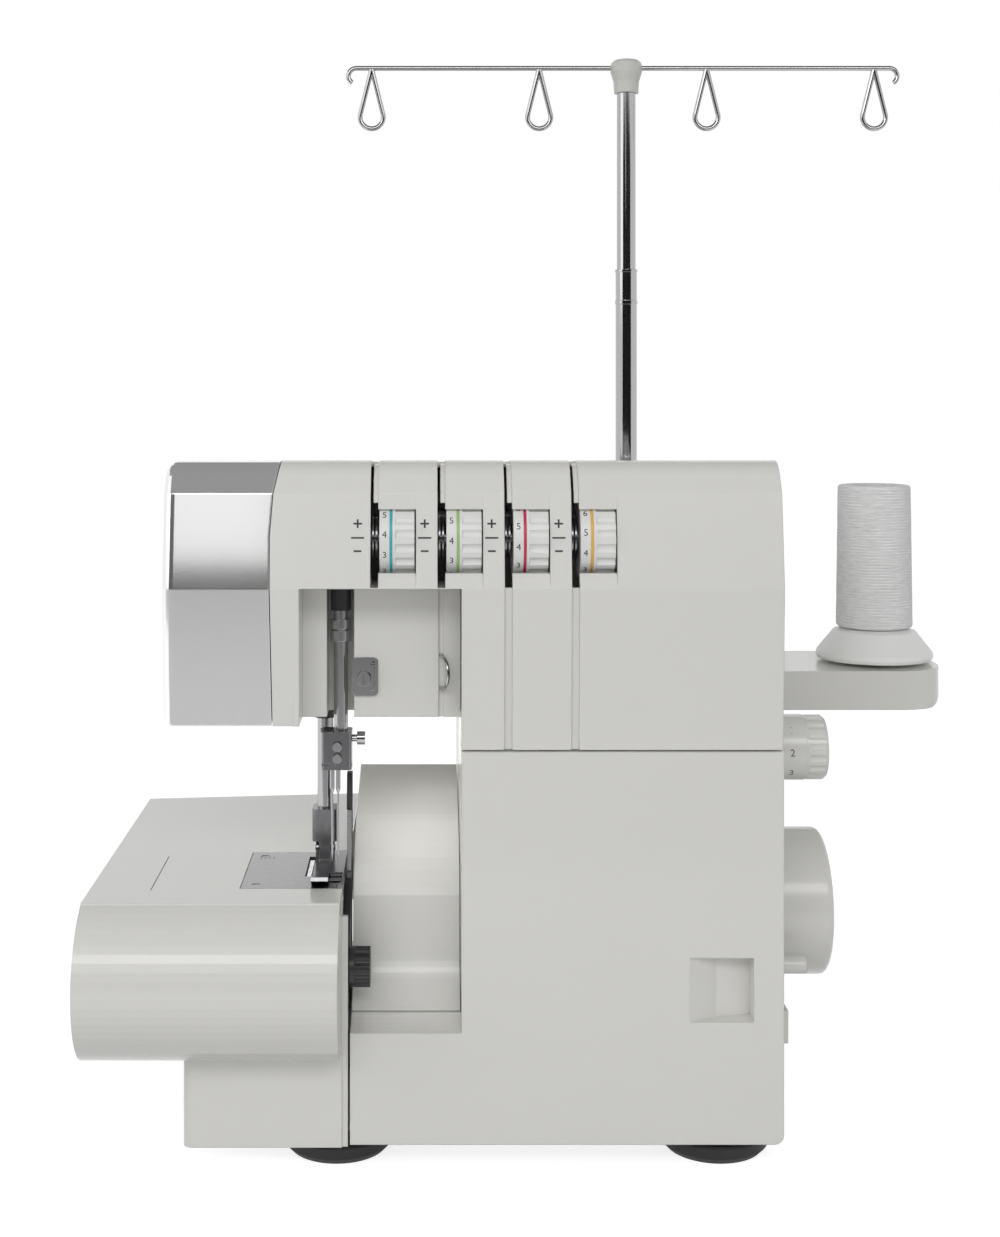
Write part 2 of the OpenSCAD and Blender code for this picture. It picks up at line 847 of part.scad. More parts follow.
// Wire and plate guides in the recess
module thread_guides() color("silver")
{
    back = front_y + recess_d;
    plate_x = nx + 5;
    difference()
    {
        rounded_plate(plate_x, plate_x + 11, guide_z - 8, guide_z + 8.5, back - 1.2, back, 2);
        rod_y(plate_x + 5, back - 3, guide_z - 0.5, 4, 1.6);
    }
    rounded_plate(plate_x + 8.2, plate_x + 9.4, guide_z - 5, guide_z + 6, back - 6, back - 1.2, 0.5);
    // Wire loop over the thread groove, on two feet
    for (side = [-1, 1])
        rod_y(slot_x(1), back - 0.6, guide_z + 2 + side * loop_r, 1.8, 0.9);
    translate([slot_x(1), back, guide_z + 2]) rotate([0, 0, loop_turn]) rotate([0, 90, 0])
        rotate([0, 0, 180]) rotate_extrude(angle = 180) translate([loop_r, 0])
            circle(0.7, $fn = 16);
}

guide_z = head_h + 17;
loop_r = 7;
loop_turn = 25;

// Plate in the x-z plane with rounded corners
module rounded_plate(x0, x1, z0, z1, y0, y1, radius)
{
    translate([0, y1, 0]) rotate([90, 0, 0]) linear_extrude(y1 - y0) union()
    {
        translate([x0 + radius, z0]) square([x1 - x0 - 2 * radius, z1 - z0]);
        translate([x0, z0 + radius]) square([x1 - x0, z1 - z0 - 2 * radius]);
        for (x = [x0 + radius, x1 - radius], z = [z0 + radius, z1 - radius])
            translate([x, z]) circle(radius);
    }
}

module screws() color("goldenrod")
{
    back = front_y + recess_d;
    difference()
    {
        rod_y(nx + 10, back - 3.6, guide_z - 0.5, 2.4, 3);
        box([nx + 9.6, back - 4, guide_z - 4], [nx + 10.4, back - 2.8, guide_z + 3]);
    }
    for (y = [plate_y0 + 6, plate_y1 - 6])
        difference()
        {
            rod_z(plate_x0 + 6, y, arm_top - 3, plate_t + 2.8, 1.6);
            box([plate_x0 + 3, y - 0.3, bed_h - 0.9], [plate_x0 + 9, y + 0.3, bed_h + 1]);
        }
}

// ---- Presser foot --------------------------------------------------------

foot_x0 = px - 4;
foot_x1 = table_right - 0.2;

module presser_bar() color("silver")
{
    rod_z(px, py, bed_h + 13.6, presser_top - bed_h - 13.6, presser_bar_d / 2);
    // Collar that the lifter's crank pin raises
    rod_z(px, py, lifter_z - lift * sin(crank_tilt) + 1.5 + rest_gap, 5, presser_bar_d / 2 + 4.5);
}

module foot_holder() color("lightgray")
{
    difference()
    {
        union()
        {
            rounded_block([px - 5.5, py - 6, bed_h + 11], [px + 5.5, py + 6, bed_h + 25], 2);
            box([px - 2.4, py - 5, bed_h + 3.2], [px + 2.4, py + 4, bed_h + 11.5]);
        }
        rod_z(px, py, bed_h + 13.6, 20, presser_bar_d / 2 + 0.02);
        rod_x(px - 3, py, bed_h + 7, 6, 1.25);
    }
}

module presser_foot() color("silver")
{
    sole = bed_h + rest_gap;
    rod_x(px - 4.4, py, bed_h + 7, 8.8, 1.2);
    for (x = [px - 4, px + 2.7])
        rounded_cheek(x, x + 1.3, py, sole + 1.5, 9);
    difference()
    {
        box([foot_x0, front_y + 18, sole], [foot_x1, front_y + 66, sole + 1.8]);
        rounded_block([nx - 5, ny - 7.5, sole - 1], [nx + 0.7, ny + 2, sole + 3], 0.8);
        box([knife_low_x - 3.6, front_y + 10, sole - 1], [foot_x1 + 1, ny - 4, sole + 3]);
        for (x = dog_rows)
            box([x + 0.2, front_y + 40, sole - 1], [x + dog_w - 0.2, front_y + 67, sole + 0.5]);
    }
    // Upturned toe
    translate([foot_x0, front_y + 18, sole]) rotate([-24, 0, 0])
        box([0, -7, 0], [knife_low_x - 3.6 - foot_x0, 0.6, 1.8]);
}

module rounded_cheek(x0, x1, y, z, height)
{
    rod_x(x0, y, z + height - 4, x1 - x0, 4);
    box([x0, y - 4, z], [x1, y + 4, z + height - 4]);
}

lifter_z = ridge_h - 14;
lifter_r = 3;

lift = 6.5;
crank_tilt = 30;

// Lever behind the head; a crank pin on its shaft raises the presser bar's collar
module presser_lifter() color("whitesmoke")
{
    crank_y = py + presser_bar_d / 2 + 5.2;
    rod_y(px, crank_y + 0.5, lifter_z, rear_y + 4 - crank_y, lifter_r);
    translate([px, 0, lifter_z]) rotate([0, crank_tilt, 0])
    {
        rod_y(lift, crank_y - 12, 0, 14, 1.5);
        rounded_plate(-3.6, lift + 2.6, -2.8, 2.8, crank_y, crank_y + 3, 2.5);
    }
    rod_y(px, rear_y + 1, lifter_z, 7, 7);
    rounded_plate(px - 5, px + 5, lifter_z - 32, lifter_z, rear_y + 3, rear_y + 7, 4.5);
}

// ---- Feed and loopers ----------------------------------------------------

dog_w = 2;
dog_rows = [nx - 15, nx - 10.5, nx - 6];
dog_y0 = front_y + 34;
dog_y1 = front_y + 60;
frame_y0 = front_y + 72;
frame_y1 = front_y + 79;

module feed_dogs() color("silver")
{
    low = bed_h - 13;
    box([dog_rows[0] - 1, dog_y0, low], [dog_rows[2] + dog_w + 1, frame_y1 + 8, low + 4]);
    for (x = dog_rows)
    {
        along_x(x, x + dog_w) polygon(concat(
            [[dog_y1, low + 3], [dog_y0, low + 3]],
            [for (i = [0:12]) let (y = dog_y0 + i * (dog_y1 - dog_y0) / 13)
                each [[y, bed_h - 1.4], [y + 0.4, bed_h - 0.4]]],
            [[dog_y1, bed_h - 1.4]]));
    }
}

looper_t = 2.4;
low_looper = [nx - 24, knife_z - 15];
up_looper = [nx - 14, knife_z - 23];

module lower_looper() color("silver")
{
    x = low_looper.x;
    z = low_looper.y;
    front = needle_y + 0.8;
    rod_y(x, front, z, frame_y1 + 5 - front, 4);
    rod_y(x, front, z, 6, 6);
    translate([0, front + looper_t, 0]) rotate([90, 0, 0]) linear_extrude(looper_t) polygon([
        [x - 4, z], [x - 3, z + 30], [x + 12, z + 38.5], [x + 15, z + 37],
        [x + 4, z + 27], [x + 4, z]]);
}

module upper_looper() color("silver")
{
    x = up_looper.x;
    z = up_looper.y;
    back = needle_y - 1;
    rod_y(x, back - looper_t, z, frame_y1 + 5 - back + looper_t, 3.4);
    rod_y(x, back - looper_t, z, 6, 5);
    translate([0, back, 0]) rotate([90, 0, 0]) linear_extrude(looper_t) polygon([
        [x - 3.4, z], [x - 3, z + 28], [x + 4.6, z + 43], [x + 6, z + 43],
        [x + 3, z + 27], [x + 3.4, z]]);
}

// ---- Main shaft and drive ------------------------------------------------

module handwheel() color("whitesmoke")
{
    gap = 1.6;
    edge = 3;
    dome = 3.4;
    crown = wheel_reach - gap;
    rim = crown - dome;
    difference()
    {
        translate([right_x + gap, shaft_y, shaft_h]) rotate([0, 90, 0]) rotate_extrude($fn = 96)
            polygon(concat(
                [[0, 0], [wheel_r - 1.5, 0], [wheel_r, 1.5]],
                arc(wheel_r - edge, rim - edge, edge, 0, 90, 6),
                [for (i = [1:8]) let (r = (wheel_r - edge) * (1 - i / 8))
                    [r, crown - dome * pow(r / (wheel_r - edge), 2)]]));
        rod_x(right_x, shaft_y, shaft_h, gap + 14, shaft_d / 2 + 0.02);
    }
}

shaft_left = cover_x + 5;

module main_shaft() color("silver")
{
    rod_x(shaft_left, shaft_y, shaft_h, right_x + 14 - shaft_left, shaft_d / 2);
    // Eccentric that drives the rocker's connecting rod
    rod_x(column_x + 22, shaft_y, shaft_h + 3, 7, shaft_d / 2 + 5);
}

pulley_r = 26;
motor_pulley_r = 6.5;
belt_w = 6;

module pulley(x, y, z, radius, bore)
{
    difference()
    {
        union()
        {
            rod_x(x, y, z, belt_w + 1, radius);
            rod_x(x - 1.2, y, z, 1.2, radius + 2.4);
            rod_x(x + belt_w + 1, y, z, 1.2, radius + 2.4);
        }
        rod_x(x - 2, y, z, belt_w + 5, bore + 0.02);
    }
}

module shaft_pulley() color("dimgray")
{
    difference()
    {
        pulley(belt_x, shaft_y, shaft_h, pulley_r, shaft_d / 2);
        for (a = [30:60:330])
            translate([0, shaft_y, shaft_h]) rotate([a, 0, 0])
                rod_x(belt_x - 2, 0, pulley_r * 0.62, belt_w + 5, 5);
    }
}

module motor_pulley() color("dimgray")
{
    pulley(belt_x, motor_y, motor_z, motor_pulley_r, 2.5);
    rod_x(motor_end + 1, motor_y, motor_z, belt_x + 9 - motor_end, 2.5);
}

// Loop round two wheels in (y, z), from their tangent points
module belt_outline(extra)
{
    span = [motor_y - shaft_y, motor_z - shaft_h];
    reach = norm(span);
    dir = atan2(span.y, span.x);
    spread = acos((pulley_r - motor_pulley_r) / reach);
    polygon(concat(
        arc(shaft_y, shaft_h, pulley_r + extra, dir + spread, dir + 360 - spread, 40),
        arc(motor_y, motor_z, motor_pulley_r + extra, dir - spread, dir + spread, 12)));
}

module drive_belt() color("black")
{
    along_x(belt_x + 0.5, belt_x + 0.5 + belt_w) difference()
    {
        belt_outline(rest_gap + 1.8);
        belt_outline(rest_gap);
    }
}

module motor() color("darkslategray")
{
    start = motor_end - motor_l;
    difference()
    {
        union()
        {
            rod_x(start, motor_y, motor_z, motor_end - start, 24);
            rod_x(start - 3, motor_y, motor_z, 4, 12);
            rod_x(motor_end - 1, motor_y, motor_z, 3.5, 8);
            box([start, motor_y - 14, base_z + tray_t + frame_t],
                [motor_end, motor_y + 14, motor_z - 10]);
        }
        rod_x(motor_end, motor_y, motor_z, 4, 2.5 + run_fit);
        for (a = [0:45:315])
            translate([0, motor_y, motor_z]) rotate([a, 0, 0])
                rod_x(start - 1, 0, 18, 12, 3);
    }
}

module shaft_bushes() color("darkgoldenrod")
{
    for (x = bush_x) difference()
    {
        union()
        {
            rod_x(x, shaft_y, shaft_h, frame_t + 4, shaft_d / 2 + 2.5);
            rod_x(x + frame_t, shaft_y, shaft_h, 2, shaft_d / 2 + 4);
        }
        rod_x(x - 1, shaft_y, shaft_h, frame_t + 8, shaft_d / 2 + run_fit);
    }
    for (x = rocker_bush_x) difference()
    {
        rod_x(x, rocker_y, rocker_z, frame_t, rocker_r + 2);
        rod_x(x - 1, rocker_y, rocker_z, frame_t + 2, rocker_r + run_fit);
    }
}

frame_t = 5;
rocker_r = 4.5;
bush_x = [column_x + 8, belt_x - 17];
rocker_bush_x = [nx + 12, column_x + 8];

// The rocker shaft swings the arm that lifts and lowers the needle bar
module rocker_shaft() color("silver")
{
    rod_x(nx + 6, rocker_y, rocker_z, column_x + 34 - nx - 6, rocker_r);
    rod_x(nx + 6, rocker_y, rocker_z, 5, 8);
    rocker_arm(nx + 6.2, nx + 10, rocker_y - ny + 6, rocker_tilt, true);
    // Crank at the column end
    rocker_arm(column_x + 24, column_x + 29, 24, 0, false);
}

// Arm of the rocker shaft; the needle bar's arm has a slot for the driving stud
module rocker_arm(x0, x1, reach, tilt, slotted)
{
    translate([0, rocker_y, rocker_z]) rotate([-tilt, 0, 0]) difference()
    {
        box([x0, -reach, -4], [x1, 0, 4]);
        if (slotted)
            box([x0 - 1, -reach + 1.4, -stud_r - rest_gap],
                [x1 + 1, -reach + 8.4, stud_r + rest_gap]);
    }
}

module inner_frame() color("lightgray")
{
    floor_z = base_z + tray_t;
    difference()
    {
        union()
        {
            box([column_x + 4, cover_back + 6, floor_z], [belt_x - 8, rear_y - 6, floor_z + frame_t]);
            box([base_x + 8, front_y + 10, floor_z], [gap_left - 0.6, rear_y - 6, floor_z + frame_t]);
            box([gap_left - 1, frame_y0 + 10, floor_z], [column_x + 5, rear_y - 40, floor_z + frame_t]);
            // Uprights that carry the shafts
            box([bush_x[0], shaft_y - 22, floor_z], [bush_x[0] + frame_t, shaft_y + 22,
                rocker_z + 14]);
            box([bush_x[1], shaft_y - 16, floor_z], [bush_x[1] + frame_t, shaft_y + 14, shaft_h + 16]);
            // Arm into the head with the rocker's hanger
            box([rocker_bush_x[0], rocker_y + 12, rocker_z - 10],
                [bush_x[0] + 1, rocker_y + 20, rocker_z + 12]);
            box([rocker_bush_x[0], rocker_y - 8, rocker_z - 10],
                [rocker_bush_x[0] + frame_t, rocker_y + 13, rocker_z + 10]);
            // Plate behind the loopers
            box([base_x + 10, frame_y0, floor_z], [gap_left - 0.6, frame_y1, arm_top - wall - 1]);
            // Post of the lower knife
            box([knife_low_x - 5, knife_low_y0 - 1, floor_z],
                [knife_low_x, knife_low_y0 + 5, bed_h - 16]);
        }
        rod_x(bush_x[0] - 1, shaft_y, shaft_h, frame_t + 2, shaft_d / 2 + 2.52);
        rod_x(bush_x[1] - 1, shaft_y, shaft_h, frame_t + 2, shaft_d / 2 + 2.52);
        for (x = rocker_bush_x)
            rod_x(x - 1, rocker_y, rocker_z, frame_t + 2, rocker_r + 2.02);
        for (centre = [low_looper, up_looper])
            rod_y(centre.x, frame_y0 - 1, centre.y, frame_y1 - frame_y0 + 2,
                  (centre == low_looper ? 4 : 3.4) + run_fit);
        box([dog_rows[0] - 1 - rest_gap, frame_y0 - 1, bed_h - 13 - rest_gap],
            [dog_rows[2] + dog_w + 1 + rest_gap, frame_y1 + 1, bed_h - 9 + rest_gap]);
    }
}

// ---- Dials and controls --------------------------------------------------

post_r = 3;

module tension_dial(i)
{
    x0 = slot_x(i) + slot_w / 2 + 0.5;
    width = window_w - 1.1;
    difference()
    {
        union()
        {
            rod_x(x0, dial_y, dial_z, 4.2, dial_r - 0.5);
            rod_x(x0 + 4.2, dial_y, dial_z, 1.2, dial_r - 0.8);
            rod_x(x0 + 5.4, dial_y, dial_z, width - 5.4, dial_r);
        }
        rod_x(x0 - 1, dial_y, dial_z, width + 2, post_r + run_fit);
        // Wide flutes for the thumb
        for (a = [0:20:340])
            translate([0, dial_y, dial_z]) rotate([a, 0, 0])
                rod_x(x0 + 6.6, 0, dial_r + 1.2, width, 2.2);
    }
}

module tension_dial_1() color("white") tension_dial(0);
module tension_dial_2() color("white") tension_dial(1);
module tension_dial_3() color("white") tension_dial(2);
module tension_dial_4() color("white") tension_dial(3);

// Post and pair of tension discs behind each slot
module tension_discs() color("silver")
{
    for (i = [0:3])
    {
        rod_x(slot_x(i) - 4, dial_y, dial_z, slot_w / 2 + window_w + 9, post_r);
        for (side = [-1, 1])
            rod_x(slot_x(i) + side * 0.75 - 0.45, dial_y, dial_z, 0.9, 9);
    }
}

stitch_y = front_y + 60;
stitch_z = seam_h - 10;

module stitch_dial() color("whitesmoke")
{
    gap = 0.8;
    difference()
    {
        union()
        {
            rod_x(right_x - wall - 6, stitch_y, stitch_z, wall + 8, 3);
            rod_x(right_x - wall - 8, stitch_y, stitch_z, 2.4, 7);
            rod_x(right_x + gap, stitch_y, stitch_z, stitch_ring, stitch_r);
            rod_x(right_x + gap + stitch_ring, stitch_y, stitch_z,
                  stitch_reach - gap - stitch_ring - 1, stitch_r - 0.3);
            rod_x(right_x + stitch_reach - 1, stitch_y, stitch_z, 1, stitch_r - 1.3);
        }
        for (a = [0:20:340])
            translate([0, stitch_y, stitch_z]) rotate([a, 0, 0])
                rod_x(right_x + gap + stitch_ring + 1, 0, stitch_r + 0.7, stitch_reach, 1.8);
    }
}

lever_y = front_y + 42;
lever_pivot = [front_y + 62, seam_h - 101];
lever_swing = 20;

module feed_lever() color("whitesmoke")
{
    difference()
    {
        union()
        {
            rod_x(right_x - wall - 5, lever_pivot.x, lever_pivot.y, 3, 5);
            box([right_x - wall - 5, lever_y, lever_pivot.y - 3],
                [right_x - wall - 2, lever_pivot.x, lever_pivot.y + 3]);
            rod_x(right_x - wall - 5, lever_y, lever_pivot.y, wall + 9, 2.6);
            rod_x(right_x + 3, lever_y, lever_pivot.y, 14, 3.8);
        }
        rod_x(right_x - wall - 6, lever_pivot.x, lever_pivot.y, 5, 2 + run_fit);
    }
}

module feed_slot(x)
{
    reach = lever_pivot.x - lever_y;
    rise = reach * sin(lever_swing) + 3.4;
    box([x, lever_y - 3.4, lever_pivot.y - rise],
        [x + wall + 2, lever_pivot.x - reach * cos(lever_swing) + 3.4, lever_pivot.y + rise]);
}

inlet_z = 48;
inlet_y0 = front_y + 36;

module power_inlet() color("whitesmoke")
{
    rounded_side(right_x, right_x + 8.5, inlet_y0, inlet_y0 + 46, inlet_z - 8, inlet_z + 6);
}

// Raised block on the right side with a socket at the back and a rocker seat
module rounded_side(x0, x1, y0, y1, z0, z1)
{
    difference()
    {
        box([x0, y0, z0], [x1, y1, z1]);
        box([x1 - 6, y0 + 3, z0 + 2.4], [x1 + 1, y0 + 19, z1 - 2.4]);
        box([x1 - 7, y0 + 25, z0 + 2.4], [x1 + 1, y0 + 42, z1 - 2.4]);
    }
    for (y = [y0 + 29, y0 + 37])
        rod_x(x1 - 7.2, y, (z0 + z1) / 2, 5, 1);
    // Pin that the rocker turns on
    rod_z(x1 - 3, y0 + 11, z0 + 1, z1 - z0 - 2, 0.8);
}

module power_switch() color("black")
{
    x1 = right_x + 8.5;
    difference()
    {
        translate([0, 0, inlet_z - 8 + 2.9]) linear_extrude(8.2)
            polygon([[x1 - 4.6, inlet_y0 + 6], [x1 - 4.6, inlet_y0 + 16],
                     [x1 + 1.5, inlet_y0 + 17.6], [x1 + 0.2, inlet_y0 + 11],
                     [x1 - 0.4, inlet_y0 + 4.4]]);
        rod_z(x1 - 3, inlet_y0 + 11, inlet_z - 9, 16, 0.8 + run_fit);
    }
}

module lamp_space(extra)
{
    box([nx + channel_w + wall + 6 - extra, front_y + recess_d + wall + 5 - extra, head_h - 0.6],
        [column_x - 10 + extra, front_y + recess_d + 30 + extra, head_h + wall + 1]);
}

module lamp_lens() color("ivory")
{
    lamp_space(0);
}

// ---- Feet ----------------------------------------------------------------

module rubber_feet() color("black")
{
    top = foot_h - 1.2;
    for (x = [cover_x - 6, right_x - 25], y = [front_y + 29, rear_y - 26])
        translate([x, y, 0])
        {
            cylinder(h = foot_h, r = foot_r * 0.5);
            rotate_extrude() polygon([
                [0, 0], [foot_r * 0.85, 0], [foot_r * 0.95, top * 0.3],
                [foot_r, top - 1], [foot_r - 0.6, top], [0, top]]);
        }
}

// ---- Thread stand --------------------------------------------------------

module spool_stand() color("whitesmoke")
{
    left = pin_x(0) - 25;
    right = right_x + stand_reach;
    // Radius by which the two ends turn up from the underside
    turn = 9;
    difference()
    {
        union()
        {
            intersection()
            {
                rounded_block([left, stand_y, stand_h - stand_t], [right, stand_y + stand_d, stand_h],
                              24);
                rounded_plate(left, right, stand_h - stand_t, stand_h + turn, stand_y,
                              stand_y + stand_d, turn);
            }
            box([column_x + 20, rear_y, stand_h - stand_t + 1],
                [right_x - 12, stand_y + 20, stand_h - 2]);
        }
        rod_z(mast_x, pin_y, stand_h - stand_t - 1, stand_t + 2, mast_d / 2 + 0.02);
    }
}

module spool_pins() color("silver")
{
    for (i = [0:3])
    {
        rod_z(pin_x(i), pin_y, stand_h, 60, pin_r);
        rod_z(pin_x(i), pin_y, stand_h, 1.6, pin_r + 4);
    }
}

module cone_holders() color("white")
{
    low = stand_h + 2;
    for (i = [0:3]) difference()
    {
        translate([pin_x(i), pin_y, low]) rotate_extrude() polygon([
            [pin_r + 0.3, 0], [holder_r - 0.6, 0], [holder_r, 1.6], [holder_r - 0.4, 3.6],
            [cone_r + 1.4, 14], [cone_r - 3, 15.4], [pin_r + 6, 15.6], [pin_r + 5, 40],
            [pin_r + 0.3, 40]]);
        // Hollow underside, where the pin's flange sits
        rod_z(pin_x(i), pin_y, low - 1, 4, pin_r + 4.6);
    }
}

cone_low = stand_h + 2 + 15.6 + rest_gap;

module thread_cone(i)
{
    top_r = cone_r * 0.945;
    bore = pin_r + 6.4;
    translate([pin_x(i), pin_y, cone_low]) rotate_extrude(convexity = 4) polygon([
        [bore, 0], [cone_r - 1, 0], [cone_r, 1], [top_r, cone_h - 1.4], [top_r - 1.4, cone_h],
        [bore, cone_h]]);
}

module thread_cone_1() color("white") thread_cone(0);
module thread_cone_2() color("white") thread_cone(1);
module thread_cone_3() color("white") thread_cone(2);
module thread_cone_4() color("white") thread_cone(3);

tube_wall = 0.6;
mast_overlap = 24;

module mast_lower() color("silver")
{
    foot = stand_h - stand_t;
    difference()
    {
        union()
        {
            rod_z(mast_x, pin_y, foot, mast_joint_h - foot, mast_d / 2);
            rod_z(mast_x, pin_y, mast_joint_h - 18, 2, mast_d / 2 + 0.3);
            rod_z(mast_x, pin_y, mast_joint_h - 1.4, 1.4, mast_d / 2 + 0.3);
        }
        rod_z(mast_x, pin_y, foot + 3, mast_joint_h - foot, mast_d / 2 - tube_wall);
    }
}

upper_r = mast_d / 2 - tube_wall - run_fit;

module mast_upper() color("silver")
{
    low = mast_joint_h - mast_overlap;
    rod_z(mast_x, pin_y, low, guide_h - 6 - low, upper_r);
}

// Hub that turns on the mast with the guide wires
module guide_hub() color("white")
{
    difference()
    {
        translate([mast_x, pin_y, guide_h - 13]) rotate_extrude() polygon([
            [0, 0], [6.2, 0], [6.6, 6], [8.1, 11], [8.3, 13.6], [7.7, 15.6], [6, 17],
            [3, 17.7], [0, 17.9]]);
        rod_z(mast_x, pin_y, guide_h - 14, 8.2, upper_r + run_fit);
        rod_x(mast_x - 10, pin_y, guide_h, 20, wire_d / 2 + 0.02);
    }
}

module guide_wires() color("silver")
{
    reach = 8;
    rod_x(pin_x(0) - reach - 0.4, pin_y, guide_h, pin_x(3) - pin_x(0) + 2 * reach + 0.8,
          wire_d / 2);
    for (i = [0:3]) eyelet(pin_x(i));
    end_hook(pin_x(0) - reach, 90);
    end_hook(pin_x(3) + reach, -60);
}

// Teardrop loop of wire hanging from the bar
module eyelet(x)
{
    bend_r = 6;
    low = guide_h - 31.2 + bend_r;
    tilt = asin(bend_r / (guide_h - low));
    leg = (guide_h - low) * cos(tilt);
    translate([x, pin_y, low]) rotate([90, 0, 0])
    {
        rotate([0, 0, 180 - tilt]) rotate_extrude(angle = 180 + 2 * tilt)
            translate([bend_r, 0]) circle(wire_d / 2);
        for (side = [-1, 1])
            rotate([0, 0, side * tilt]) translate([side * bend_r, -0.4, 0])
                rotate([-90, 0, 0]) cylinder(h = leg, r = wire_d / 2 - 0.04);
    }
}

// Wire end curling down from the bar
module end_hook(x, from)
{
    bend_r = 4;
    translate([x, pin_y, guide_h - bend_r]) rotate([90, 0, 0]) rotate([0, 0, from])
        rotate_extrude(angle = 150) translate([bend_r, 0]) circle(wire_d / 2 - 0.04);
}

base_tray();
bed_casing();
chute_wall();
front_casing();
rear_casing();
end_cap();
looper_cover();
cover_hinge_rod();
extension_table();
needle_plate();
lower_knife();
rubber_feet();
bar_bushes();
needle_bar();
needle_clamp();
needles();
needle_screws();
thread_guides();
screws();
presser_bar();
foot_holder();
presser_foot();
presser_lifter();
knife_arm();
upper_knife();
knife_knob();
feed_dogs();
upper_looper();
lower_looper();
handwheel();
main_shaft();
shaft_pulley();
shaft_bushes();
motor();
motor_pulley();
drive_belt();
rocker_shaft();
inner_frame();
tension_dial_1();
tension_dial_2();
tension_dial_3();
tension_dial_4();
tension_discs();
stitch_dial();
feed_lever();
power_switch();
power_inlet();
lamp_lens();
spool_stand();
spool_pins();
cone_holders();
thread_cone_1();
thread_cone_2();
thread_cone_3();
thread_cone_4();
mast_lower();
mast_upper();
guide_hub();
guide_wires();
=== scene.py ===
"""Finishes, wound thread, printed marks and studio for the overlock machine."""
import json
import math

import bpy
import numpy as np
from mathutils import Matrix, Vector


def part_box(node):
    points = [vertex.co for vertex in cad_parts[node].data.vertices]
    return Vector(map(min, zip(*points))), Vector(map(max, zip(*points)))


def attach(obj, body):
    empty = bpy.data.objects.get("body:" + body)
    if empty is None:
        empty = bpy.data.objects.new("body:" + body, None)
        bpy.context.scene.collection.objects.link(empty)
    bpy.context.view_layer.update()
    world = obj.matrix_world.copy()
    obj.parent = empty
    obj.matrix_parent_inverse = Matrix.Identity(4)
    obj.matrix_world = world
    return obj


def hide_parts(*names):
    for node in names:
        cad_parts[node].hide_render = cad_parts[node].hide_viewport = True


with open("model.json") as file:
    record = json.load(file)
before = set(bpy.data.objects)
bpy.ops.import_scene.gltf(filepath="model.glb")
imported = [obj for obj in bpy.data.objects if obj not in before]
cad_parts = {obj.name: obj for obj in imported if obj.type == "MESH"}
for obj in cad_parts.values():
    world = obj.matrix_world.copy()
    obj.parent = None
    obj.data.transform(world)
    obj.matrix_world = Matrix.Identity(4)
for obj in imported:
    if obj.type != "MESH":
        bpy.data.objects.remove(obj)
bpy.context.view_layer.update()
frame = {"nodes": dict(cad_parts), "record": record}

NODES = frame["nodes"]
MM = 0.001
TAU = 2 * math.pi
BLACK = (0.0, 0.0, 0.0)
WHITE = (1.0, 1.0, 1.0)

# ---- Camera --------------------------------------------------------------

IMAGE_W, IMAGE_H = 1000, 1237
EYE = (-58.5 * MM, -837 * MM, 326 * MM)
EYE_PIXEL = (430, 380)
FOCAL_PIXELS = 1800
SENSOR = 36.0
NEAR_CLIP = 0.01


def make_camera():
    """A level camera that looks along +Y, with the picture shifted down and right of its axis."""
    data = bpy.data.cameras.new("studio_camera")
    data.sensor_width = SENSOR
    data.lens = FOCAL_PIXELS * SENSOR / IMAGE_H
    data.shift_x = (IMAGE_W / 2 - EYE_PIXEL[0]) / IMAGE_H
    data.shift_y = (EYE_PIXEL[1] - IMAGE_H / 2) / IMAGE_H
    data.clip_start = NEAR_CLIP
    camera = bpy.data.objects.new("studio_camera", data)
    camera.location = EYE
    camera.rotation_euler = (math.pi / 2, 0, 0)
    bpy.context.scene.collection.objects.link(camera)
    bpy.context.scene.camera = camera


make_camera()

# ---- Node trees ----------------------------------------------------------


def set_input(tree, socket, value):
    """Links a socket to another one, or gives it a plain value; a colour gets its alpha."""
    if isinstance(value, bpy.types.NodeSocket):
        tree.links.new(value, socket)
    elif isinstance(value, tuple) and socket.type == "RGBA" and len(value) == 3:
        socket.default_value = (*value, 1.0)
    else:
        socket.default_value = value


def add(tree, kind, inputs=None, **settings):
    """One shader node with its settings and inputs."""
    made = tree.nodes.new(kind)
    for name, value in settings.items():
        setattr(made, name, value)
    for key, value in (inputs or {}).items():
        set_input(tree, made.inputs[key], value)
    return made


def new_group(name, inputs, outputs):
    """An empty shader group; inputs are (name, socket type, value), outputs (name, socket type)."""
    tree = bpy.data.node_groups.new(name, "ShaderNodeTree")
    for label, kind, value in inputs:
        socket = tree.interface.new_socket(label, in_out="INPUT", socket_type=kind)
        socket.default_value = (*value, 1.0) if kind == COLOUR else value
    for label, kind in outputs:
        tree.interface.new_socket(label, in_out="OUTPUT", socket_type=kind)
    source = tree.nodes.new("NodeGroupInput")
    sink = tree.nodes.new("NodeGroupOutput")
    return tree, source.outputs, sink.inputs


def place(tree, group, **values):
    """A group node with its named inputs set; underscores stand for spaces in the names."""
    made = tree.nodes.new("ShaderNodeGroup")
    made.node_tree = group
    for name, value in values.items():
        set_input(tree, made.inputs[name.replace("_", " ")], value)
    return made.outputs


FLOAT, COLOUR, VECTOR = "NodeSocketFloat", "NodeSocketColor", "NodeSocketVector"
SKIN_OUTPUTS = {"Colour": COLOUR, "Roughness": FLOAT, "Normal": VECTOR}
SHADER_INPUT_OF = {"Colour": "Base Color", "Roughness": "Roughness", "Normal": "Normal"}
EDGE_SAMPLES = 6


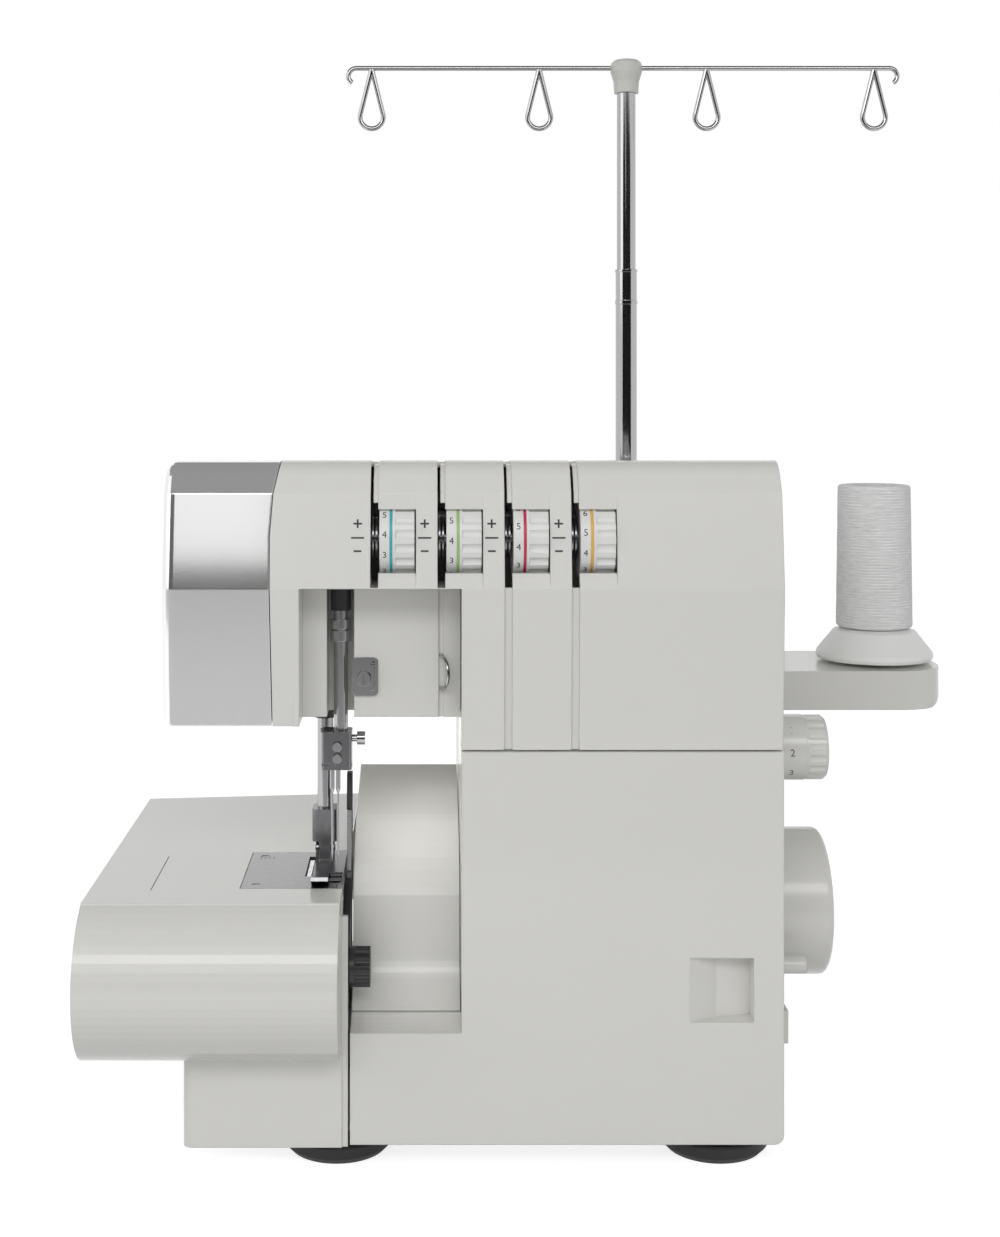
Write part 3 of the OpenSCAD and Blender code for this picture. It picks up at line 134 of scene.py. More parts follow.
def vary_tone(tree, given, out, noise):
    """Scales the tone by Shade where the noise is high."""
    shaded = add(tree, "ShaderNodeVectorMath", {0: given["Tone"]}, operation="SCALE")
    tree.links.new(given["Shade"], shaded.inputs["Scale"])
    tone = add(tree, "ShaderNodeMix", {
        "Factor": noise.outputs["Fac"], "A": given["Tone"], "B": shaded.outputs[0]},
        data_type="RGBA")
    tree.links.new(tone.outputs["Result"], out["Colour"])


def vary_gloss(tree, given, out, noise):
    """Roughness that swings about Gloss by Gloss Spread with the noise."""
    centred = add(tree, "ShaderNodeMath", {0: noise.outputs["Fac"], 1: -0.5}, operation="ADD")
    rough = add(tree, "ShaderNodeMath", {
        0: centred.outputs[0], 1: given["Gloss Spread"], 2: given["Gloss"]},
        operation="MULTIPLY_ADD", use_clamp=True)
    tree.links.new(rough.outputs[0], out["Roughness"])


def raise_relief(tree, given, out, noise, strength, distance):
    """Relief from the noise, on edges that look rounded by Edge."""
    soft_edge = add(tree, "ShaderNodeBevel", {"Radius": given["Edge"]}, samples=EDGE_SAMPLES)
    relief = add(tree, "ShaderNodeBump", {
        "Strength": strength, "Distance": distance, "Height": noise.outputs["Fac"],
        "Normal": soft_edge.outputs["Normal"]})
    tree.links.new(relief.outputs["Normal"], out["Normal"])


def make_moulded():
    """Cloudy tone, orange-peel relief and uneven gloss of a moulded or lacquered skin."""
    tree, given, out = new_group(
        "moulded_skin",
        [("Tone", COLOUR, (0.8, 0.8, 0.8)), ("Shade", FLOAT, 0.93), ("Cloud Scale", FLOAT, 9.0),
         ("Gloss", FLOAT, 0.3), ("Gloss Spread", FLOAT, 0.1), ("Peel Scale", FLOAT, 900.0),
         ("Peel", FLOAT, 0.05), ("Edge", FLOAT, 0.0006)],
        SKIN_OUTPUTS.items())
    place_xyz = add(tree, "ShaderNodeTexCoord").outputs["Object"]
    cloud = add(tree, "ShaderNodeTexNoise", {
        "Vector": place_xyz, "Scale": given["Cloud Scale"], "Detail": 4.0, "Roughness": 0.55})
    smear = add(tree, "ShaderNodeTexNoise", {
        "Vector": place_xyz, "Scale": 34.0, "Detail": 5.0, "Roughness": 0.65})
    peel = add(tree, "ShaderNodeTexNoise", {
        "Vector": place_xyz, "Scale": given["Peel Scale"], "Detail": 2.0})
    vary_tone(tree, given, out, cloud)
    vary_gloss(tree, given, out, smear)
    raise_relief(tree, given, out, peel, given["Peel"], 0.0004)
    return tree


def make_brushed():
    """Fine parallel scratches along one axis, for ground and brushed metal."""
    tree, given, out = new_group(
        "brushed_lines",
        [("Tone", COLOUR, (0.5, 0.5, 0.5)), ("Shade", FLOAT, 0.8), ("Stretch", VECTOR, (1, 1, 1)),
         ("Gloss", FLOAT, 0.3), ("Gloss Spread", FLOAT, 0.2), ("Depth", FLOAT, 0.2),
         ("Edge", FLOAT, 0.0003)],
        SKIN_OUTPUTS.items())
    place_xyz = add(tree, "ShaderNodeTexCoord").outputs["Object"]
    along = add(tree, "ShaderNodeVectorMath", {0: place_xyz, 1: given["Stretch"]},
                operation="MULTIPLY")
    lines = add(tree, "ShaderNodeTexNoise", {
        "Vector": along.outputs[0], "Scale": 1.0, "Detail": 6.0, "Roughness": 0.7})
    vary_tone(tree, given, out, lines)
    vary_gloss(tree, given, out, lines)
    raise_relief(tree, given, out, lines, given["Depth"], 0.0001)
    return tree


MOULDED = make_moulded()
BRUSHED = make_brushed()

# ---- Finishes ------------------------------------------------------------


def new_finish(name, **inputs):
    """A material with its tree and Principled shader; underscores stand for spaces in the names
    of the shader's inputs."""
    material = bpy.data.materials.new(name)
    material.use_nodes = True
    tree = material.node_tree
    shader = tree.nodes["Principled BSDF"]
    for label, value in inputs.items():
        set_input(tree, shader.inputs[label.replace("_", " ")], value)
    return material, tree, shader


def dress_shader(tree, shader, skin):
    """Links a skin group's outputs to the shader."""
    for label, shader_input in SHADER_INPUT_OF.items():
        tree.links.new(skin[label], shader.inputs[shader_input])


def moulded_finish(name, tone, metallic=0.0, coat=0.0, specular=0.5, **skin):
    """Moulded plastic, rubber or lacquer."""
    material, tree, shader = new_finish(
        name, Metallic=metallic, Coat_Weight=coat, Coat_Roughness=0.08,
        Specular_IOR_Level=specular)
    dress_shader(tree, shader, place(tree, MOULDED, Tone=tone, **skin))
    return material


def brushed_finish(name, tone, **skin):
    """Plated, ground or cast metal."""
    material, tree, shader = new_finish(name, Metallic=1.0)
    dress_shader(tree, shader, place(tree, BRUSHED, Tone=tone, **skin))
    return material


def thread_finish(name, tone):
    """Spun thread: fine twist across the turns, soft sheen, painted shade in the gaps."""
    material, tree, shader = new_finish(
        name, Roughness=0.7, Sheen_Weight=0.25, Sheen_Roughness=0.4)
    place_xyz = add(tree, "ShaderNodeTexCoord").outputs["Object"]
    flat = add(tree, "ShaderNodeMapping", {"Vector": place_xyz, "Scale": (180.0, 180.0, 2600.0)})
    turns = add(tree, "ShaderNodeTexNoise", {
        "Vector": flat.outputs[0], "Scale": 1.0, "Detail": 3.0, "Roughness": 0.6})
    fuzz = add(tree, "ShaderNodeTexNoise", {"Vector": place_xyz, "Scale": 2500.0, "Detail": 2.0})
    tone_map = add(tree, "ShaderNodeValToRGB", {"Fac": turns.outputs["Fac"]})
    # The darker gap stop is painted shade in the recesses between turns, where the relief also
    # sinks.
    painted_gap_shade, strand = tone_map.color_ramp.elements
    painted_gap_shade.position = 0.25
    painted_gap_shade.color = (*[c * 0.74 for c in tone], 1.0)
    strand.position = 0.7
    strand.color = (*tone, 1.0)
    tree.links.new(tone_map.outputs["Color"], shader.inputs["Base Color"])
    height = add(tree, "ShaderNodeMath", {
        0: fuzz.outputs["Fac"], 1: 0.35, 2: turns.outputs["Fac"]}, operation="MULTIPLY_ADD")
    relief = add(tree, "ShaderNodeBump", {
        "Strength": 0.5, "Distance": 0.0003, "Height": height.outputs[0]})
    tree.links.new(relief.outputs["Normal"], shader.inputs["Normal"])
    return material


MOULDED_LOOKS = {
    "shell_white": dict(tone=(0.79, 0.785, 0.755), coat=0.35, specular=0.4, Shade=0.975,
                        Gloss=0.25, Gloss_Spread=0.03, Peel=0.04, Edge=0.0007),
    "hub_cream": dict(tone=(0.66, 0.665, 0.625), Shade=0.97, Gloss=0.35, Gloss_Spread=0.12,
                      Peel=0.05, Edge=0.0006),
    # A brighter copy of white plastic for the cone holders: the extra brightness is painted light.
    "holder_painted_light_white": dict(tone=(0.96, 0.96, 0.94), Shade=0.98, Gloss=0.35, Gloss_Spread=0.12,
                         Peel=0.06, Edge=0.0004),
    "cap_silver": dict(tone=(0.9, 0.905, 0.9), metallic=0.85, coat=0.6, Shade=0.96, Gloss=0.08,
                       Gloss_Spread=0.02, Peel=0.004, Edge=0.0008),
    "white_plastic": dict(tone=(0.83, 0.83, 0.81), Shade=0.97, Gloss=0.38, Gloss_Spread=0.12,
                          Peel=0.06, Edge=0.0004),
    "black_plastic": dict(tone=(0.018, 0.018, 0.02), Shade=1.7, Gloss=0.36, Gloss_Spread=0.2,
                          Peel=0.12, Edge=0.0004),
    "rubber": dict(tone=(0.012, 0.012, 0.012), Shade=1.6, Gloss=0.7, Gloss_Spread=0.25,
                   Peel=0.35, Peel_Scale=600.0, Edge=0.0005),
    "motor_paint": dict(tone=(0.08, 0.09, 0.1), Shade=0.8, Gloss=0.45, Gloss_Spread=0.2,
                        Peel=0.2, Edge=0.0005),
    "lens_plastic": dict(tone=(0.86, 0.86, 0.82), Shade=0.98, Gloss=0.5, Gloss_Spread=0.1,
                         Peel=0.3, Peel_Scale=1800.0),
    "dark_ink": dict(tone=(0.035, 0.035, 0.04), Gloss=0.55, Peel=0.1, Edge=0.0),
    "grey_ink": dict(tone=(0.16, 0.16, 0.17), Gloss=0.5, Peel=0.1, Edge=0.0),
}
BRUSHED_LOOKS = {
    "chrome": dict(tone=(0.46, 0.46, 0.47), Shade=0.94, Stretch=(900.0, 900.0, 60.0),
                   Gloss=0.1, Gloss_Spread=0.1, Depth=0.03, Edge=0.0003),
    "steel": dict(tone=(0.5, 0.5, 0.51), Shade=0.75, Stretch=(2400.0, 90.0, 900.0), Gloss=0.3,
                  Gloss_Spread=0.25, Depth=0.2, Edge=0.0003),
    # Dark steel for the needle clamp and foot; on the tension discs its darkness is painted shade
    # for their slots.
    "dark_steel_and_painted_shade": dict(tone=(0.3, 0.3, 0.31), Shade=0.6, Stretch=(500.0, 500.0, 260.0),
                       Gloss=0.22, Gloss_Spread=0.2, Depth=0.1, Edge=0.0003),
    "plate_steel": dict(tone=(0.36, 0.36, 0.365), Shade=0.8, Stretch=(90.0, 2400.0, 900.0),
                        Gloss=0.28, Gloss_Spread=0.2, Depth=0.15, Edge=0.0003),
    "cast_metal": dict(tone=(0.5, 0.5, 0.5), Shade=0.7, Stretch=(500.0, 500.0, 500.0),
                       Gloss=0.55, Gloss_Spread=0.3, Depth=0.8, Edge=0.0006),
    "bronze": dict(tone=(0.5, 0.36, 0.2), Shade=0.7, Stretch=(700.0, 700.0, 700.0), Gloss=0.4,
                   Gloss_Spread=0.2, Depth=0.3, Edge=0.0003),
}
FINISH = {"thread": thread_finish("thread", (0.97, 0.97, 0.97))}
FINISH.update({name: moulded_finish(name, **look) for name, look in MOULDED_LOOKS.items()})
FINISH.update({name: brushed_finish(name, **look) for name, look in BRUSHED_LOOKS.items()})

SLOT_OF = {row["node"]: row["material_slot"] for row in frame["record"]["subparts"]}
OWN_FINISH = {
    "guide_hub": "hub_cream",
    # The cone holders get the brighter copy of white plastic, which is painted light.
    "cone_holders": "holder_painted_light_white",
    "needle_clamp": "dark_steel_and_painted_shade",
    "presser_foot": "dark_steel_and_painted_shade",
    "foot_holder": "dark_steel_and_painted_shade",
    # The plated tension discs get dark steel as painted shade for the slots they sit in.
    "tension_discs": "dark_steel_and_painted_shade",
    "needle_plate": "plate_steel",
}
for node_name, made in NODES.items():
    made.data.materials.clear()
    made.data.materials.append(FINISH[OWN_FINISH.get(node_name, SLOT_OF[node_name])])

# ---- Mesh pieces ---------------------------------------------------------


def grid_faces(rows, columns):
    """Quads of a rows by columns grid of points that closes on itself both ways."""
    r, c = np.meshgrid(np.arange(rows), np.arange(columns), indexing="ij")
    r2, c2 = (r + 1) % rows, (c + 1) % columns
    corners = [r * columns + c, r * columns + c2, r2 * columns + c2, r2 * columns + c]
    return np.stack(corners, axis=-1).reshape(-1, 4).tolist()


def new_mesh(name, points, faces, finish, smooth=False):
    """An object from lists of points in metres and faces, linked to the scene."""
    mesh = bpy.data.meshes.new(name)
    mesh.from_pydata(points, [], faces)
    mesh.polygons.foreach_set("use_smooth", [smooth] * len(mesh.polygons))
    mesh.update()
    mesh.materials.append(finish)
    made = bpy.data.objects.new(name, mesh)
    bpy.context.scene.collection.objects.link(made)
    return made


def add_piece(name, points, faces, finish, body, smooth=False):
    """A mesh from an array of points, riding on a body."""
    piece = new_mesh(name, points.reshape(-1, 3).tolist(), faces, FINISH[finish], smooth)
    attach(piece, body)
    return piece


def ring_about_x(centre_y, centre_z, profile, steps=96):
    """Turns a closed (x, radius) profile about an axis along +X: y and z are the radius times
    the sine and cosine of the turn."""
    turn = np.linspace(0, TAU, steps, endpoint=False)[:, None]
    x = np.broadcast_to(profile[:, 0], (steps, len(profile)))
    y = centre_y + profile[:, 1] * np.sin(turn)
    z = centre_z + profile[:, 1] * np.cos(turn)
    return np.stack([x, y, z], axis=-1), grid_faces(steps, len(profile))


def lathe_about_z(axis_x, axis_y, height, radius, turn):
    """Points of a lathe: height is a column, turn a row, and radius a column or a full grid."""
    height, radius, turn = np.broadcast_arrays(height, radius, turn)
    return np.stack([axis_x + radius * np.cos(turn), axis_y + radius * np.sin(turn), height],
                    axis=-1)


# ---- Thread cones --------------------------------------------------------

BORE_R = 10.3 * MM
CORE_INNER_R = 9.4 * MM
CORE_OUTER_R = 10.2 * MM
CORE_END = 0.4 * MM
TAPER = 0.05
ROUND_R = 1.6 * MM
SWELL = 0.16 * MM
SWELL_ROOM = 1.2
WIND_PITCH = 1.45 * MM
TURNS_UP, TURNS_DOWN = 3, 2
DOWN_PITCH_SHARE = 0.93
DRIFT = 0.6
DRIFT_LENGTH = 5.3 * MM
CONE_COUNT = 4
CONE_ROWS, CONE_STEPS = 250, 144


def wind_cone(i):
    """Cross-wound thread as a closed lathe of (radius, height): up the tapered outside, over the
    rounded shoulder and down the bore. The outside swells by the larger of two helix waves that
    climb opposite ways, and the waves fade at both ends."""
    node_name = f"thread_cone_{i}"
    low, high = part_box(node_name)
    axis_x, axis_y = (low.x + high.x) / 2, (low.y + high.y) / 2
    foot_r = (high.x - low.x) / 2
    height = high.z - low.z
    rise = np.linspace(0, 1, CONE_ROWS)
    shoulder = np.clip(np.minimum(rise, 1 - rise) * height / ROUND_R, 0, 1)
    outside_r = foot_r - SWELL * SWELL_ROOM - rise * foot_r * TAPER
    outside_r = outside_r - ROUND_R * (1 - np.sqrt(1 - (1 - shoulder) ** 2))
    radius = np.concatenate([outside_r, [BORE_R, BORE_R]])[:, None]
    z = np.concatenate([rise * height, [height, 0.0]])[:, None]
    fade = np.concatenate([shoulder, [0.0, 0.0]])[:, None]
    turn = np.linspace(0, TAU, CONE_STEPS, endpoint=False)[None, :]
    phase = TAU * z / WIND_PITCH
    drift = DRIFT * np.sin(z / DRIFT_LENGTH + i)
    waves = np.maximum(np.sin(phase + TURNS_UP * turn + drift),
                       np.sin(phase * DOWN_PITCH_SHARE - TURNS_DOWN * turn - drift))
    points = lathe_about_z(axis_x, axis_y, low.z + z, radius + SWELL * fade * waves, turn)
    faces = [face[::-1] for face in grid_faces(len(radius), CONE_STEPS)]
    piece = add_piece(f"wound_thread_{i}", points, faces, "thread", f"cone_{i}",
                      smooth=True)
    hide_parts(node_name)
    add_core(i, axis_x, axis_y, low.z + CORE_END, high.z - CORE_END, turn)


def add_core(i, axis_x, axis_y, bottom, top, turn):
    """The plain tube inside a cone's bore."""
    radius = np.array([CORE_INNER_R, CORE_OUTER_R, CORE_OUTER_R, CORE_INNER_R])[:, None]
    z = np.array([top, top, bottom, bottom])[:, None]
    points = lathe_about_z(axis_x, axis_y, z, radius, turn)
    add_piece(f"cone_core_{i}", points, grid_faces(len(radius), turn.size), "white_plastic",
              f"cone_{i}")


for i in range(1, CONE_COUNT + 1):
    wind_cone(i)

# ---- Printed marks -------------------------------------------------------

PRINT_THICK = 0.06 * MM


def print_text(label, size):
    """A character's outline as a thin closed mesh: (n, 3) points and faces, centred on (0, 0)."""
    curve = bpy.data.curves.new("print", "FONT")
    curve.body = label
    curve.size = size
    curve.extrude = PRINT_THICK / 2
    curve.align_x = "CENTER"
    curve.align_y = "CENTER"
    curve.resolution_u = 3
    holder = bpy.data.objects.new("print", curve)
    bpy.context.scene.collection.objects.link(holder)
    bpy.context.view_layer.update()
    mesh = bpy.data.meshes.new_from_object(holder.evaluated_get(
        bpy.context.evaluated_depsgraph_get()))
    points = np.array([v.co for v in mesh.vertices])
    faces = [list(p.vertices) for p in mesh.polygons]
    bpy.data.objects.remove(holder)
    bpy.data.curves.remove(curve)
    bpy.data.meshes.remove(mesh)
    return points, faces


def print_bar(width, height, thick=PRINT_THICK):
    """A flat bar with square corners as a thin closed box, centred on (0, 0)."""
    x, y, z = width / 2, height / 2, thick / 2
    points = np.array([(sx * x, sy * y, sz * z) for sz in (-1, 1) for sy in (-1, 1)
                       for sx in (-1, 1)])
    faces = [[0, 2, 3, 1], [4, 5, 7, 6], [0, 1, 5, 4], [2, 6, 7, 3], [0, 4, 6, 2], [1, 3, 7, 5]]
    return points, faces


def join_prints(name, prints, ink, body):
    """One piece from a list of (points, faces)."""
    blocks, faces, start = [], [], 0
    for block, block_faces in prints:
        faces += [[v + start for v in face] for face in block_faces]
        blocks.append(block)
        start += len(block)
    add_piece(name, np.concatenate(blocks), faces, ink, body)


def wrap_about_x(points, x, centre_y, centre_z, radius, turn):
    """Bends flat print round an axis along +X: its height becomes an angle measured up from the
    front, and its thickness a step in radius."""
    angle = turn + points[:, 1] / radius
    reach = radius + points[:, 2]
    return np.stack([x + points[:, 0], centre_y - reach * np.cos(angle),
                     centre_z + reach * np.sin(angle)], axis=-1)


def dial_axis(low, high):
    """The y and z of a dial's axis and its radius, from the corners of its box."""
    return (low.y + high.y) / 2, (low.z + high.z) / 2, (high.z - low.z) / 2


STRIPES = {"blue": (0.05, 0.47, 0.55), "green": (0.36, 0.62, 0.2), "red": (0.62, 0.03, 0.09),
           "amber": (0.86, 0.5, 0.1)}
RING_W = 4.2 * MM
STRIPE_W = 1.2 * MM
STRIPE_GAP = 0.02 * MM
STRIPE_CHAMFER = 0.1 * MM
STRIPE_FOOT_DEPTH = 0.9 * MM
STRIPE_TOP_DEPTH = 0.35 * MM
DIAL_PRINT_DEPTH = 0.5 * MM
DIAL_DIGITS = 10
DIAL_DIGIT_H = 4.0 * MM
DIGIT_TURN = TAU / 12
FRONT_DIGIT = 3.4
DIGIT_SHIFT = 0.3


def dress_dial(i, colour):
    """A coloured band in the dial's groove, and numbers round its left ring."""
    low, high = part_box(f"tension_dial_{i}")
    centre_y, centre_z, dial_r = dial_axis(low, high)
    band = f"{colour}_band"
    FINISH[band] = moulded_finish(band, STRIPES[colour], Shade=0.9, Gloss=0.35, Edge=0.0)
    x0 = low.x + RING_W + STRIPE_GAP
    x1 = low.x + RING_W + STRIPE_W - STRIPE_GAP
    inner, outer = dial_r - STRIPE_FOOT_DEPTH, dial_r - STRIPE_TOP_DEPTH
    profile = np.array([
        [x0, inner], [x1, inner], [x1, outer - STRIPE_CHAMFER], [x1 - STRIPE_CHAMFER, outer],
        [x0 + STRIPE_CHAMFER, outer], [x0, outer - STRIPE_CHAMFER]])
    points, faces = ring_about_x(centre_y, centre_z, profile)
    add_piece(f"dial_band_{i}", points, faces, band, f"dial_{i}")
    prints = []
    for number in range(DIAL_DIGITS):
        flat, faces = print_text(str(number), DIAL_DIGIT_H)
        turn = (number - FRONT_DIGIT - DIGIT_SHIFT * i) * DIGIT_TURN
        prints.append((wrap_about_x(flat, low.x + RING_W / 2, centre_y, centre_z,
                                    dial_r - DIAL_PRINT_DEPTH, turn), faces))
    join_prints(f"dial_numbers_{i}", prints, "dark_ink", f"dial_{i}")


for i, colour in enumerate(STRIPES, 1):
    dress_dial(i, colour)

FRONT_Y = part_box("front_casing")[0].y
RIDGE_Z = 240 * MM
SHOULDER_Z = 279 * MM
FACE_BACK = 6 * MM
SLOT_COUNT = 4
SLOT_PITCH = 27.7 * MM
FIRST_SLOT_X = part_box("tension_dial_1")[0].x - 2.1 * MM
MARK_TO_SLOT = 6.9 * MM
PLUS = [(3.6 * MM, 0.75 * MM), (0.75 * MM, 3.6 * MM)]
LONG_LINE = [(5.4 * MM, 0.7 * MM)]
MINUS = [(3.2 * MM, 0.75 * MM)]
TENSION_MARKS = [(266.6 * MM, PLUS), (260.8 * MM, LONG_LINE), (255.4 * MM, MINUS)]
CROSS_STEP = 0.01 * MM


def mark_tension():
    """Plus, a long line and minus left of each slot, laid on the leaning upper face. The plus
    sign's second bar is thicker, so no faces share a plane."""
    slope = math.atan2(FACE_BACK, SHOULDER_Z - RIDGE_Z)
    prints = []
    for i in range(SLOT_COUNT):
        x = FIRST_SLOT_X + i * SLOT_PITCH - MARK_TO_SLOT
        for z, bars in TENSION_MARKS:
            y = FRONT_Y + (z - RIDGE_Z) * math.tan(slope)
            for k, (width, height) in enumerate(bars):
                flat, faces = print_bar(width, height, PRINT_THICK + CROSS_STEP * k)
                up, out = flat[:, 1], flat[:, 2]
                points = np.stack([
                    x + flat[:, 0], y + up * math.sin(slope) - out * math.cos(slope),
                    z + up * math.cos(slope) + out * math.sin(slope)], axis=-1)
                prints.append((points, faces))
    join_prints("tension_marks", prints, "dark_ink", "machine")


mark_tension()

STITCH_RING_TO_END = 16.2 * MM
STITCH_DIGITS = 4
STITCH_DIGIT_H = 4.6 * MM
STITCH_TURN = TAU / 9
STITCH_FRONT_DIGIT = 2


def mark_stitch_dial():
    """Numbers round the smooth ring of the stitch length dial."""
    low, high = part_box("stitch_dial")
    centre_y, centre_z, dial_r = dial_axis(low, high)
    prints = []
    for number in range(1, STITCH_DIGITS + 1):
        flat, faces = print_text(str(number), STITCH_DIGIT_H)
        turn = (STITCH_FRONT_DIGIT - number) * STITCH_TURN
        prints.append((wrap_about_x(flat, high.x - STITCH_RING_TO_END, centre_y, centre_z,
                                    dial_r, turn), faces))
    join_prints("stitch_numbers", prints, "dark_ink", "stitch_control")


mark_stitch_dial()

LINE_X, LINE_Y = -174.9 * MM, -60.5 * MM
LINE_W, LINE_L = 0.45 * MM, 53 * MM
STROKE_X, STROKE_Y = -133.5 * MM, -36 * MM
STROKE_PITCH = 1.9 * MM
STROKE_W = 0.35 * MM
STROKE_LENGTHS = [6 * MM, 5 * MM, 4 * MM, 3 * MM]


def mark_table():
    """A thin line let into the table, and short strokes on the needle plate."""
    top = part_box("needle_plate")[1].z
    flat, faces = print_bar(LINE_W, LINE_L)
    join_prints("table_line", [(flat + np.array([LINE_X, LINE_Y, top]), faces)], "grey_ink",
                "table")
    prints = []
    for k, length in enumerate(STROKE_LENGTHS):
        flat, faces = print_bar(STROKE_W, length)
        spot = np.array([STROKE_X + STROKE_PITCH * k, STROKE_Y, top])
        prints.append((flat + spot, faces))
    join_prints("plate_marks", prints, "grey_ink", "machine")


mark_table()

# ---- Studio --------------------------------------------------------------

FLOOR_SIZE = 6.0
FLOOR_TONE = (0.6, 0.6, 0.6)
FLOOR_GLOW = 0.8


def seen_in_shine(tree):
    """1 for what the camera sees straight, in a reflection or through glass, and 0 for the light
    that falls on matt surfaces."""
    path = add(tree, "ShaderNodeLightPath")
    shine = add(tree, "ShaderNodeMath", {
        0: path.outputs["Is Glossy Ray"], 1: path.outputs["Is Transmission Ray"]},
        operation="MAXIMUM")
    return add(tree, "ShaderNodeMath", {
        0: path.outputs["Is Camera Ray"], 1: shine.outputs[0]}, operation="MAXIMUM").outputs[0]


def stage_card(name, corners, material):
    """A flat sheet of the studio."""
    card = new_mesh(name, corners, [range(len(corners))], material)
    return card


def make_floor():
    """A plain white floor that keeps a soft shadow."""
    material, tree, shader = new_finish(
        "studio_floor", Base_Color=FLOOR_TONE, Roughness=0.9, Specular_IOR_Level=0.0)
    glow = add(tree, "ShaderNodeMath", {0: seen_in_shine(tree), 1: FLOOR_GLOW},
               operation="MULTIPLY")
    white = add(tree, "ShaderNodeEmission", {"Color": WHITE, "Strength": glow.outputs[0]})
    both = add(tree, "ShaderNodeAddShader", {0: shader.outputs[0], 1: white.outputs[0]})
    tree.links.new(both.outputs[0], tree.nodes["Material Output"].inputs["Surface"])
    size = FLOOR_SIZE
    stage_card("studio_floor",
               [(-size, -size, 0), (size, -size, 0), (size, size, 0), (-size, size, 0)], material)


ROOM_Y = -2.0
ROOM_HALF = 2.2
ROOM_TOP = 0.83
NOTCH_LEFT, NOTCH_RIGHT, NOTCH_Z = -0.5, -0.27, 0.64
GROUND_BACK_Y = -0.55
GROUND_Z = 0.002
GROUND_FADE_END_Y = -0.75
GROUND_DARK, GROUND_LIGHT = 0.17, 0.55
CEILING_HALF, CEILING_BACK_Y, CEILING_FRONT_Y, CEILING_Z = 2.1, 2.0, -2.3, 1.9
ROOM_LEVEL, CEILING_LEVEL = 0.02, 0.25


def flag_card(name, corners, fade=False, level=0.0):
    """A glowing card, even or brighter towards +Y, that shows only in reflections and through
    glass."""
    material, tree, shader = new_finish(
        name, Base_Color=BLACK, Specular_IOR_Level=0.0, Emission_Color=WHITE,
        Emission_Strength=level)
    if fade:
        along = add(tree, "ShaderNodeSeparateXYZ", {
            "Vector": add(tree, "ShaderNodeTexCoord").outputs["Object"]})
        ramp = add(tree, "ShaderNodeMapRange", {
            "Value": along.outputs["Y"], "From Min": ROOM_Y, "From Max": GROUND_FADE_END_Y,
            "To Min": GROUND_DARK, "To Max": GROUND_LIGHT})
        tree.links.new(ramp.outputs[0], shader.inputs["Emission Strength"])
    card = stage_card(name, corners, material)
    card.visible_camera = False
    card.visible_diffuse = False
    card.visible_shadow = False


def make_flags():
    """The dark room behind the camera, the grey ground before it and the dim ceiling."""
    flag_card("room_flag", [
        (-ROOM_HALF, ROOM_Y, 0), (ROOM_HALF, ROOM_Y, 0), (ROOM_HALF, ROOM_Y, ROOM_TOP),
        (NOTCH_RIGHT, ROOM_Y, ROOM_TOP), (NOTCH_RIGHT, ROOM_Y, NOTCH_Z),
        (NOTCH_LEFT, ROOM_Y, NOTCH_Z), (NOTCH_LEFT, ROOM_Y, ROOM_TOP),
        (-ROOM_HALF, ROOM_Y, ROOM_TOP)], level=ROOM_LEVEL)
    flag_card("ground_flag", [
        (-ROOM_HALF, ROOM_Y, GROUND_Z), (ROOM_HALF, ROOM_Y, GROUND_Z),
        (ROOM_HALF, GROUND_BACK_Y, GROUND_Z), (-ROOM_HALF, GROUND_BACK_Y, GROUND_Z)], fade=True)
    flag_card("ceiling_flag", [
        (-CEILING_HALF, CEILING_FRONT_Y, CEILING_Z), (-CEILING_HALF, CEILING_BACK_Y, CEILING_Z),
        (CEILING_HALF, CEILING_BACK_Y, CEILING_Z), (CEILING_HALF, CEILING_FRONT_Y, CEILING_Z)],
        level=CEILING_LEVEL)


SKY_LOW, SKY_HIGH = 0.55, 0.3
SKY_HIGH_AT = 0.9


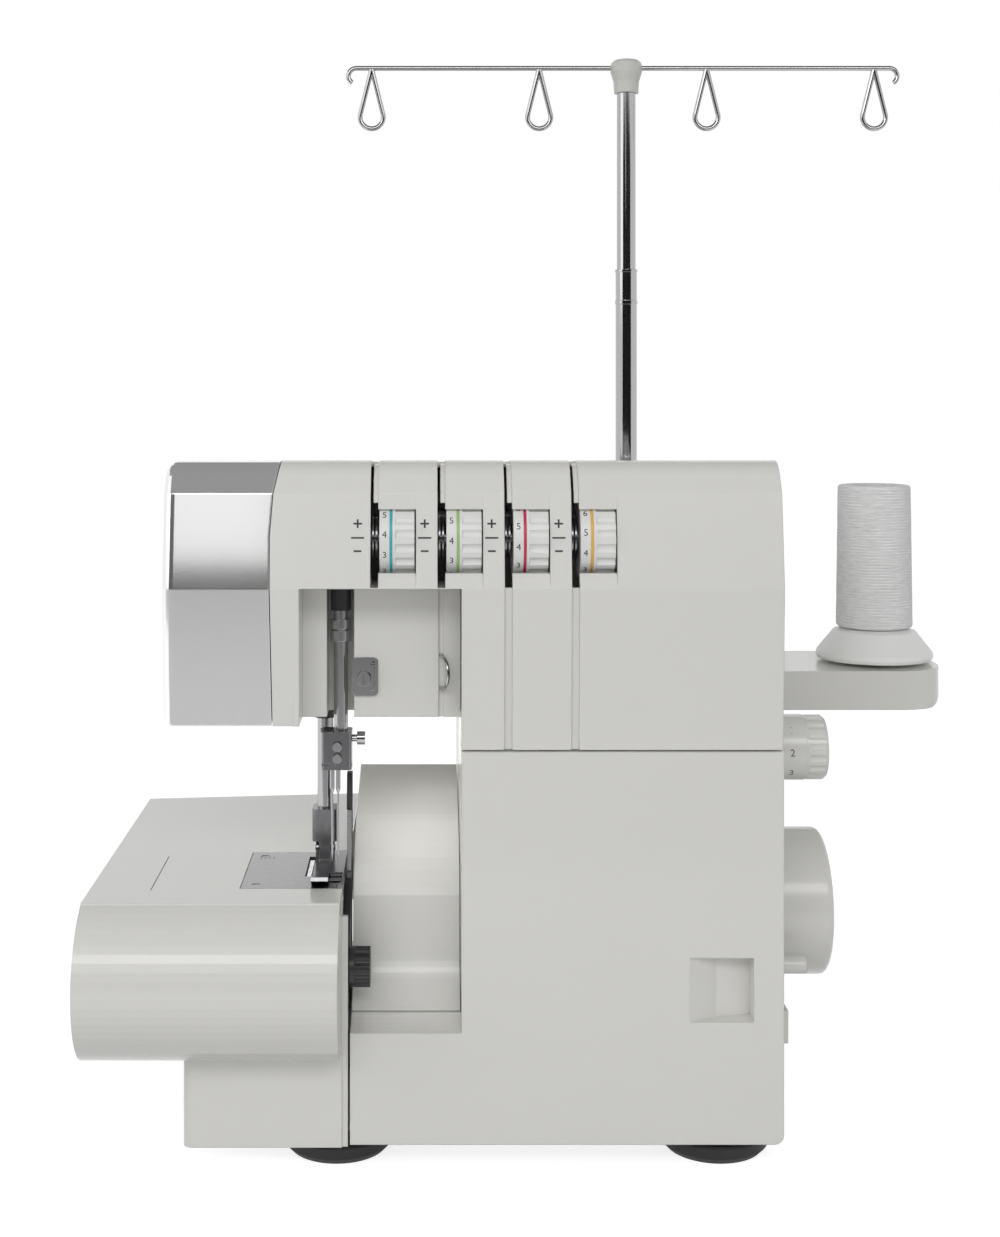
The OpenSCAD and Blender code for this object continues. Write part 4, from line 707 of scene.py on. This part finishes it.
def make_world():
    """White behind the object and in what shines, and a plain soft sky, dimmer overhead, for the
    light."""
    world = bpy.data.worlds.new("studio")
    bpy.context.scene.world = world
    world.use_nodes = True
    tree = world.node_tree
    direction = add(tree, "ShaderNodeSeparateXYZ", {
        "Vector": add(tree, "ShaderNodeTexCoord").outputs["Generated"]})
    soft = add(tree, "ShaderNodeMapRange", {
        "Value": direction.outputs["Z"], "From Min": 0.0, "From Max": SKY_HIGH_AT,
        "To Min": SKY_LOW, "To Max": SKY_HIGH})
    seen = add(tree, "ShaderNodeMix", {
        "Factor": seen_in_shine(tree), "A": soft.outputs[0], "B": WHITE}, data_type="RGBA")
    tree.links.new(seen.outputs["Result"], tree.nodes["Background"].inputs["Color"])


def add_lamp(name, place_at, aim_at, width, height, power, shines=True):
    """A soft oblong lamp that looks from one point to another, seen in reflections or not."""
    data = bpy.data.lights.new(name, "AREA")
    data.shape = "RECTANGLE"
    data.size = width
    data.size_y = height
    data.energy = power
    lamp = bpy.data.objects.new(name, data)
    lamp.location = place_at
    way = np.array(aim_at) - np.array(place_at)
    lamp.rotation_euler = (math.atan2(math.hypot(way[0], way[1]), -way[2]), 0,
                           math.atan2(way[1], way[0]) - math.pi / 2)
    lamp.visible_glossy = shines
    bpy.context.scene.collection.objects.link(lamp)


AIM = (-0.05, 0, 0.2)
SIDE_AIM = (-0.05, 0, 0.15)
LENS_GAP = 0.5 * MM
SEWING_AIM = (40 * MM, 25 * MM, -50 * MM)
SEWING_LAMP_H = 12 * MM
SEWING_POWER = 0.018


def light_needles():
    """The small lamp under the head, as wide as its lens."""
    low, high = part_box("lamp_lens")
    middle = (low + high) / 2
    aim = (middle.x + SEWING_AIM[0], middle.y + SEWING_AIM[1], low.z + SEWING_AIM[2])
    add_lamp("sewing_lamp", (middle.x, middle.y, low.z - LENS_GAP), aim, high.x - low.x,
             SEWING_LAMP_H, SEWING_POWER, shines=False)


make_floor()
make_flags()
make_world()
add_lamp("front_panel", (-0.05, -1.65, 1.2), AIM, 2.0, 0.5, 10.0)
add_lamp("low_panel", (-0.2, -1.3, 0.33), AIM, 0.9, 0.3, 1.8, shines=False)
light_needles()
add_lamp("side_panel", (-1.5, -0.7, 0.9), SIDE_AIM, 1.0, 1.0, 3.0)
bpy.context.scene.view_settings.view_transform = "Standard"
